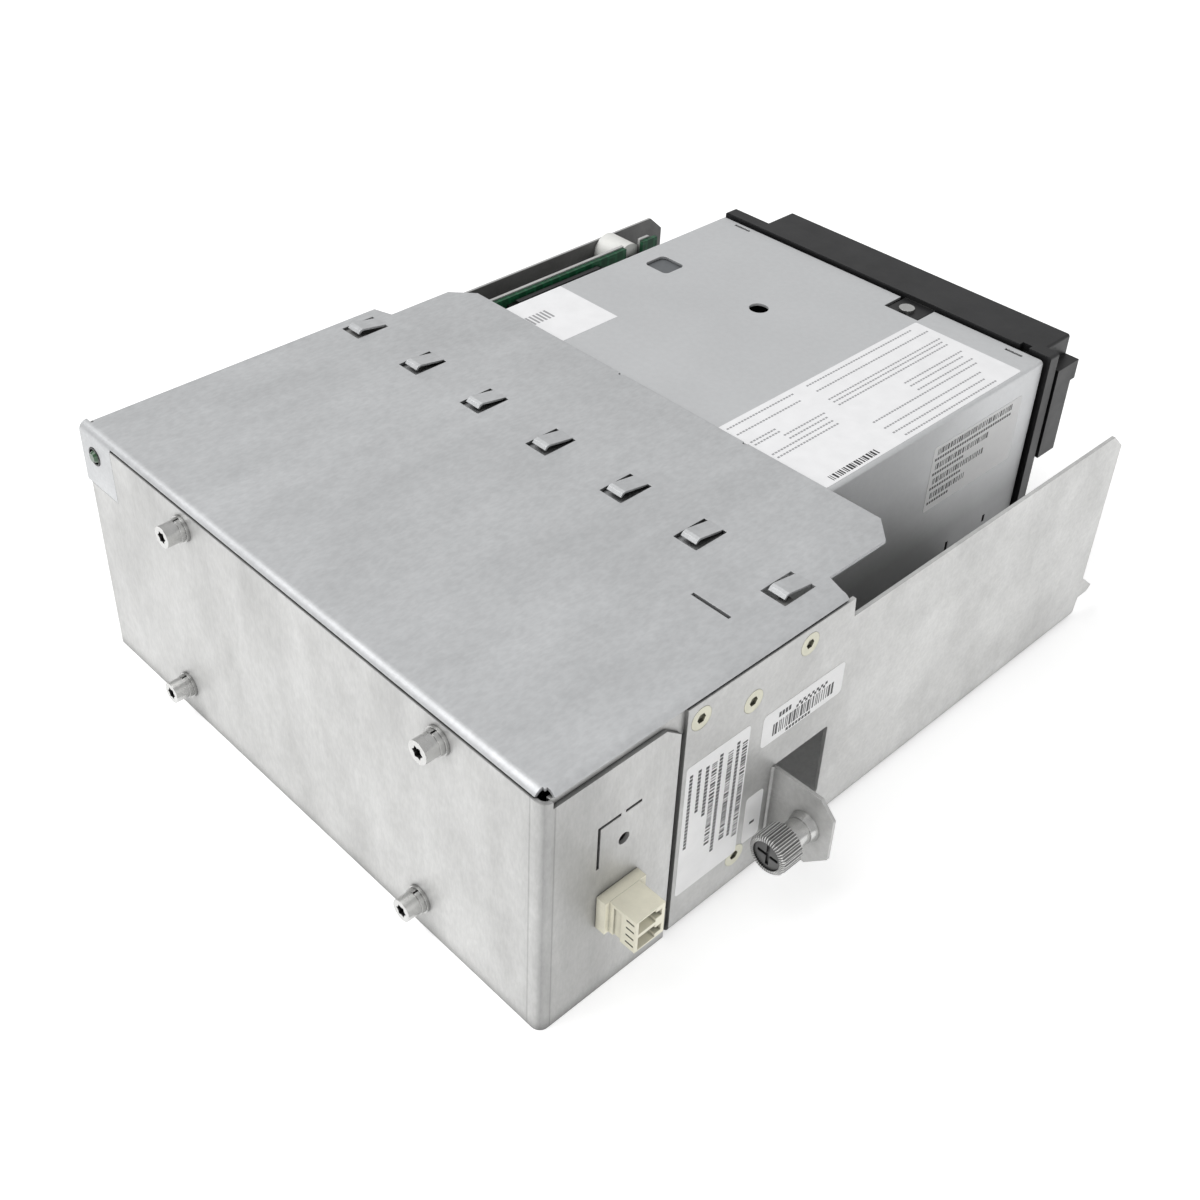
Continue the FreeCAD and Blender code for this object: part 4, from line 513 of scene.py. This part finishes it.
# ---- operators ---------------------------------------------------------------------------------
class TAPE_DRIVE_OT_sheet_metal(bpy.types.Operator):
    """Finish the tray, the lid, the rear panel and the brackets"""
    bl_idname = "tape_drive.sheet_metal"
    bl_label = "Sheet metal"

    def execute(self, context):
        metal = context.scene.tape_metal
        edge = metal.edge_radius
        lid = zinc_sheet("zinc_lid", metal.cover, (1.0, 0.45, 1.0), 0.08, edge)
        dress(lid, "top_cover")
        # Painted shadow across the right wall, laid over the zinc.
        wall_shadow = ((0.0, 1.0, 0.0), WALL_SHADOW_Y * MM, WALL_REACH, WALL_SHADE)
        # Painted shade on the left wall's inner face.
        inner_shade = ((1.0, 0.0, 0.0), INNER_WALL_X * MM, BAND_REACH, INNER_WALL_SHADE)
        walls = zinc_sheet("zinc_walls", metal.panel, (1.0, 0.8, 0.8), 0.15, edge, (wall_shadow, inner_shade))
        dress(walls, "tray", "screw_tab", "side_bracket", "cover_brackets", "board_frame", "supply_bracket")
        # Painted shade lines along the rear panel's rounded corner.
        corner = ((1.0, 1.0, 0.0), (WALL_X + WALL_Y) * MM, BAND_REACH, CORNER_SHADE)
        # Painted shadow on the rear panel's wrap beside the port.
        wrap_shadow = ((0.0, 1.0, 0.0), WALL_Y * MM, WRAP_REACH, WRAP_SHADOW)
        rear = zinc_sheet("zinc_rear", metal.panel, (1.4, 1.4, 0.5), 0.14, edge, (corner, wrap_shadow))
        dress(rear, "rear_panel")
        return {"FINISHED"}


class TAPE_DRIVE_OT_fasteners(bpy.types.Operator):
    """Finish the screws, washers, knob and collar"""
    bl_idname = "tape_drive.fasteners"
    bl_label = "Fasteners"

    def execute(self, context):
        metal = context.scene.tape_metal
        bright = smooth_metal("bright_zinc", metal.bright, 0.9, 0.24, 0.0002)
        dress(bright, "rear_screws", "rear_washers", "screw_collar", "screw_washer", "board_screws",
              "bezel_screw", "door_pin", "drive_screws")
        dress(smooth_metal("dark_screw", metal.blackened, 0.6, 0.40, 0.0002), "thumbscrew")
        dress(knurled("knurled_zinc", metal.bright), "knob_sleeve")
        yellow = smooth_metal("yellow_zinc", metal.passivated, 0.8, 0.32, 0.0002)
        dress(yellow, "side_screws")
        return {"FINISHED"}


class TAPE_DRIVE_OT_drive(bpy.types.Operator):
    """Finish the drive's case, casting and mechanism"""
    bl_idname = "tape_drive.drive"
    bl_label = "Drive"

    def execute(self, context):
        metal = context.scene.tape_metal
        # Painted shade on the drive's right side, darker towards the bottom.
        low = ((0.0, 0.0, 1.0), CASE_LOW_Z * MM, CASE_REACH, CASE_SHADE)
        case = smooth_metal("case_steel", metal.case, 0.5, 0.40, metal.edge_radius, 0.02, (low,))
        dress(case, "drive_case", "bottom_plate")
        # The power supply, seen through the slots, is coloured near black: painted shade of the box's
        # inside over its grey metal.
        dress(smooth_metal("supply_painted_shade", shade(metal.case, 0.06), 0.2, 0.60), "power_supply")
        cast = smooth_metal("cast_alloy", metal.casting, 0.6, 0.50, metal.edge_radius)
        dress(cast, "drive_base", "case_boss")
        steel = smooth_metal("inner_steel", metal.bright, 0.9, 0.35)
        dress(steel, "loader_frame", "loader_slider", "cartridge_carrier", "roller_posts",
              "threader_plate", "supply_motor", "takeup_motor")
        turned = smooth_metal("turned_alloy", metal.bright, 0.9, 0.22)
        dress(turned, "takeup_reel", "head", "head_base", "threader_arm",
              *("guide_roller_%d" % i for i in (1, 2, 3, 4)))
        return {"FINISHED"}


class TAPE_DRIVE_OT_plastics(bpy.types.Operator):
    """Finish the bezel, port, lamp, spacers, boards and feet"""
    bl_idname = "tape_drive.plastics"
    bl_label = "Plastics and boards"

    def execute(self, context):
        plastic = context.scene.tape_plastic
        edge = context.scene.tape_metal.edge_radius
        dress(moulding("bezel_black", plastic.bezel, 0.42, 0.12, edge), "bezel", "cartridge_door")
        dress(moulding("mechanism_black", plastic.bezel, 0.35), "supply_chuck", "board_parts",
              "drive_connector", "supply_terminals", "led_holder")
        dress(moulding("button_grey", shade(plastic.bezel, 3.0), 0.40, 0.08, edge), "eject_button")
        dress(moulding("port_beige", plastic.adapter, 0.38, 0.05, edge), "fibre_port")
        dress(moulding("ferrule_white", plastic.nylon, 0.15, 0.0), "port_ferrules")
        dress(moulding("spacer_nylon", plastic.nylon, 0.35, 0.04, edge), "board_spacers")
        dress(moulding("foot_rubber", plastic.bezel, 0.75), "drive_feet")
        lamp = moulding("lamp_green", plastic.lamp, 0.12, 0.0, IOR=1.49, Coat_Weight=0.6)
        dress(lamp, "status_led", "front_lens")
        dress(circuit("board_mask", plastic.board), "interface_board", "drive_board", "front_board")
        return {"FINISHED"}


class TAPE_DRIVE_OT_labels(bpy.types.Operator):
    """Lay the plain labels on the wall and on the drive"""
    bl_idname = "tape_drive.labels"
    bl_label = "Labels"

    def execute(self, context):
        label = context.scene.tape_labels
        self.thick = label.thickness
        self.film = PRINT_SHARE * label.thickness
        self.radius = label.corner / MM
        self.stock = paper("label_stock", label.stock)
        self.wall_stock = paper("wall_label_stock", label.wall_stock)
        self.bars = paper("label_bars", label.bars)
        self.faint = paper("label_rules", label.faint)
        self.wall_labels()
        self.drive_side_label()
        self.top_label()
        self.corner_label()
        return {"FINISHED"}

    def stock_piece(self, name, sheet, u, v, material, corner):
        """The blank stock of one label."""
        mesh = bmesh.new()
        sheet.box(mesh, u, v, 0.0, self.thick, corner)
        make_object(name, mesh, material)

    def wall_labels(self):
        """Three labels on the right wall beside the window."""
        wall = Sheet((WALL_X, WALL_Y, 0.0), (0, 1, 0), (0, 0, 1))
        for name, across, up, corner in WALL_STOCK:
            self.stock_piece(name, wall, across, up, self.wall_stock, corner or self.radius)
        mesh = bmesh.new()
        for seed, (start, low) in enumerate(TALL_COLUMNS):
            bar_column(mesh, wall, start, (low, TALL_TOPS[0]), COLUMN_WIDTH, seed, self.thick, self.film)
        for start, width, low in TALL_RULES:
            self.dashes(mesh, wall, (start, start + width), (low, TALL_TOPS[1]), False)
        bar_row(mesh, wall, *WIDE_BARS, WIDE_SEED, self.thick, self.film)
        self.checks(mesh, wall, *WIDE_CHECKS)
        for across, up, level_run in WALL_RULES:
            self.dashes(mesh, wall, across, up, level_run)
        make_object("wall_label_bars", mesh, self.bars)

    def dashes(self, mesh, sheet, u, v, level_run):
        """A broken rule: short even dashes along the longer way of a box."""
        run = u if level_run else v
        for i in range(int((run[1] - run[0]) / DASH_PITCH)):
            part = (run[0] + DASH_PITCH * i, run[0] + DASH_PITCH * (i + DASH_SHARE))
            both = (part, v) if level_run else (u, part)
            sheet.box(mesh, *both, self.thick, self.film)

    def checks(self, mesh, sheet, u, v, size):
        """A patch of small checks."""
        for i in range(int((u[1] - u[0]) / size)):
            for j in range(int((v[1] - v[0]) / size)):
                if (i + j) % 2 == 0:
                    low = (u[0] + i * size, v[0] + j * size)
                    sheet.box(mesh, (low[0], low[0] + size), (low[1], low[1] + size), self.thick, self.film)

    def drive_side_label(self):
        """The label on the drive's right side."""
        side = Sheet((DRIVE_RIGHT, WALL_Y, 0.0), (0, 1, 0), (0, 0, 1))
        self.stock_piece("drive_side_label", side, (202.8, 252.4), (50.6, 76.2), self.wall_stock, 1.0)
        mesh = bmesh.new()
        for row, end in enumerate(SIDE_ENDS):
            top = SIDE_TOP - SIDE_STEP * row
            bar_row(mesh, side, top - SIDE_BAR, (SIDE_START, end), SIDE_BAR, SIDE_SEED + row,
                    self.thick, self.film)
            cut = SIDE_SHORTER * (end - SIDE_RULE_START) * (row > 0)
            low, high = SIDE_RULE
            self.dashes(mesh, side, (SIDE_RULE_START, end - cut), (top - low, top - high), True)
        make_object("drive_side_bars", mesh, self.bars)

    def top_label(self):
        """The large label on the drive's top, which runs back under the cover."""
        top = Sheet((0.0, WALL_Y, DRIVE_TOP), (1, 0, 0), (0, 1, 0))
        self.stock_piece("top_label", top, (24.6, 68.0), (147.5, 250.4), self.stock, 0.8)
        mesh = bmesh.new()
        for start, low, high in TOP_RULES:
            self.dashes(mesh, top, (start, start + TOP_RULE), (low, high), False)
        make_object("top_label_rules", mesh, self.faint)
        mesh = bmesh.new()
        bar_column(mesh, top, 64.4, (152.0, 175.0), 2.6, TOP_SEED, self.thick, self.film)
        make_object("top_label_bars", mesh, self.bars)

    def corner_label(self):
        """The white label by the interface board, with square corners."""
        top = Sheet((0.0, WALL_Y, DRIVE_TOP), (1, 0, 0), (0, 1, 0))
        self.stock_piece("corner_label", top, (-75.6, -46.4), (147.5, 173.8), self.stock, 0.0)
        mesh = bmesh.new()
        for i in range(CORNER_BAR_COUNT):
            start = CORNER_BAR_START + CORNER_BAR_PITCH * i
            top.box(mesh, CORNER_BARS, (start, start + CORNER_BAR_HEIGHT), self.thick, self.film)
        make_object("corner_label_bars", mesh, self.faint)


class TAPE_DRIVE_OT_stage(bpy.types.Operator):
    """Set the floor, the lamps and the camera"""
    bl_idname = "tape_drive.stage"
    bl_label = "Studio"

    def execute(self, context):
        stage = context.scene.tape_stage
        scene = context.scene
        scene.view_settings.view_transform = "Standard"
        self.lay_floor(stage)
        self.light_world(scene)
        self.hang_lamp("key_lamp", KEY_PLACE, KEY_SIZE, stage.key_power)
        self.hang_lamp("fill_lamp", FILL_PLACE, FILL_SIZE, stage.fill_power)
        camera = bpy.data.objects.new("camera", bpy.data.cameras.new("camera"))
        camera.location = stage.camera_place
        camera.rotation_euler = stage.camera_turn
        camera.data.lens = stage.lens
        camera.data.sensor_width = SENSOR_WIDTH
        camera.data.shift_x, camera.data.shift_y = stage.shift
        camera.data.clip_start = NEAREST
        scene.collection.objects.link(camera)
        scene.camera = camera
        return {"FINISHED"}

    def lay_floor(self, stage):
        """A wide floor that shows near white to the camera and keeps the shadow."""
        mesh = bmesh.new()
        bmesh.ops.create_grid(mesh, x_segments=2, y_segments=2, size=FLOOR_SIZE)
        material, tree, shader = shaded("studio_floor", Roughness=0.9)
        shader.inputs["Base Color"].default_value = (*stage.floor, 1.0)
        seen = add(tree, "ShaderNodeLightPath").outputs["Is Camera Ray"]
        glossy = add(tree, "ShaderNodeLightPath").outputs["Is Glossy Ray"]
        either = add(tree, "ShaderNodeMath", {0: seen, 1: glossy}, operation="MAXIMUM")
        lift = add(tree, "ShaderNodeMath", {0: either.outputs[0], 1: FLOOR_LIFT}, operation="MULTIPLY")
        shader.inputs["Emission Color"].default_value = (1.0, 1.0, 1.0, 1.0)
        tree.links.new(lift.outputs[0], shader.inputs["Emission Strength"])
        data = bpy.data.meshes.new("studio_floor")
        mesh.to_mesh(data)
        mesh.free()
        data.materials.append(material)
        floor = bpy.data.objects.new("studio_floor", data)
        floor.location.z = FLOOR_Z
        bpy.context.scene.collection.objects.link(floor)

    def light_world(self, scene):
        """Even studio light from all round."""
        world = bpy.data.worlds.new("studio")
        world.use_nodes = True
        back = world.node_tree.nodes["Background"]
        back.inputs["Color"].default_value = (1.0, 1.0, 1.0, 1.0)
        back.inputs["Strength"].default_value = WORLD_STRENGTH
        scene.world = world

    def hang_lamp(self, name, place, size, power):
        """A square softbox aimed at the drive's middle."""
        lamp = bpy.data.lights.new(name, "AREA")
        lamp.size = size
        lamp.energy = power
        holder = bpy.data.objects.new(name, lamp)
        holder.location = place
        holder.rotation_euler = (Vector(LAMP_AIM) - Vector(place)).to_track_quat("-Z", "Y").to_euler()
        bpy.context.scene.collection.objects.link(holder)


class TAPE_DRIVE_PT_panel(bpy.types.Panel):
    """Lists the drive's settings and steps"""
    bl_idname = "TAPE_DRIVE_PT_panel"
    bl_label = "Tape Drive"
    bl_space_type = "VIEW_3D"
    bl_region_type = "UI"
    bl_category = "Tape Drive"

    def draw(self, context):
        for step in STEPS:
            self.layout.operator(step.bl_idname)
        for group in SETTINGS:
            box = self.layout.box()
            for field in SETTINGS[group].__annotations__:
                box.prop(getattr(context.scene, group), field)


SETTINGS = {"tape_metal": MetalSettings, "tape_plastic": PlasticSettings,
            "tape_labels": LabelSettings, "tape_stage": StageSettings}
STEPS = (TAPE_DRIVE_OT_stage, TAPE_DRIVE_OT_sheet_metal, TAPE_DRIVE_OT_fasteners,
         TAPE_DRIVE_OT_drive, TAPE_DRIVE_OT_plastics, TAPE_DRIVE_OT_labels)


def register():
    """Adds the settings, the steps and the panel."""
    for name, group in SETTINGS.items():
        bpy.utils.register_class(group)
        setattr(bpy.types.Scene, name, bpy.props.PointerProperty(type=group))
    for step in STEPS:
        bpy.utils.register_class(step)
    bpy.utils.register_class(TAPE_DRIVE_PT_panel)


def unregister():
    """Takes them out again, in the opposite order."""
    bpy.utils.unregister_class(TAPE_DRIVE_PT_panel)
    for step in reversed(STEPS):
        bpy.utils.unregister_class(step)
    for name, group in reversed(SETTINGS.items()):
        delattr(bpy.types.Scene, name)
        bpy.utils.unregister_class(group)


def main():
    """Runs every step."""
    register()
    for step in STEPS:
        family, name = step.bl_idname.split(".")
        getattr(getattr(bpy.ops, family), name)()


if __name__ == "__main__":
    main()
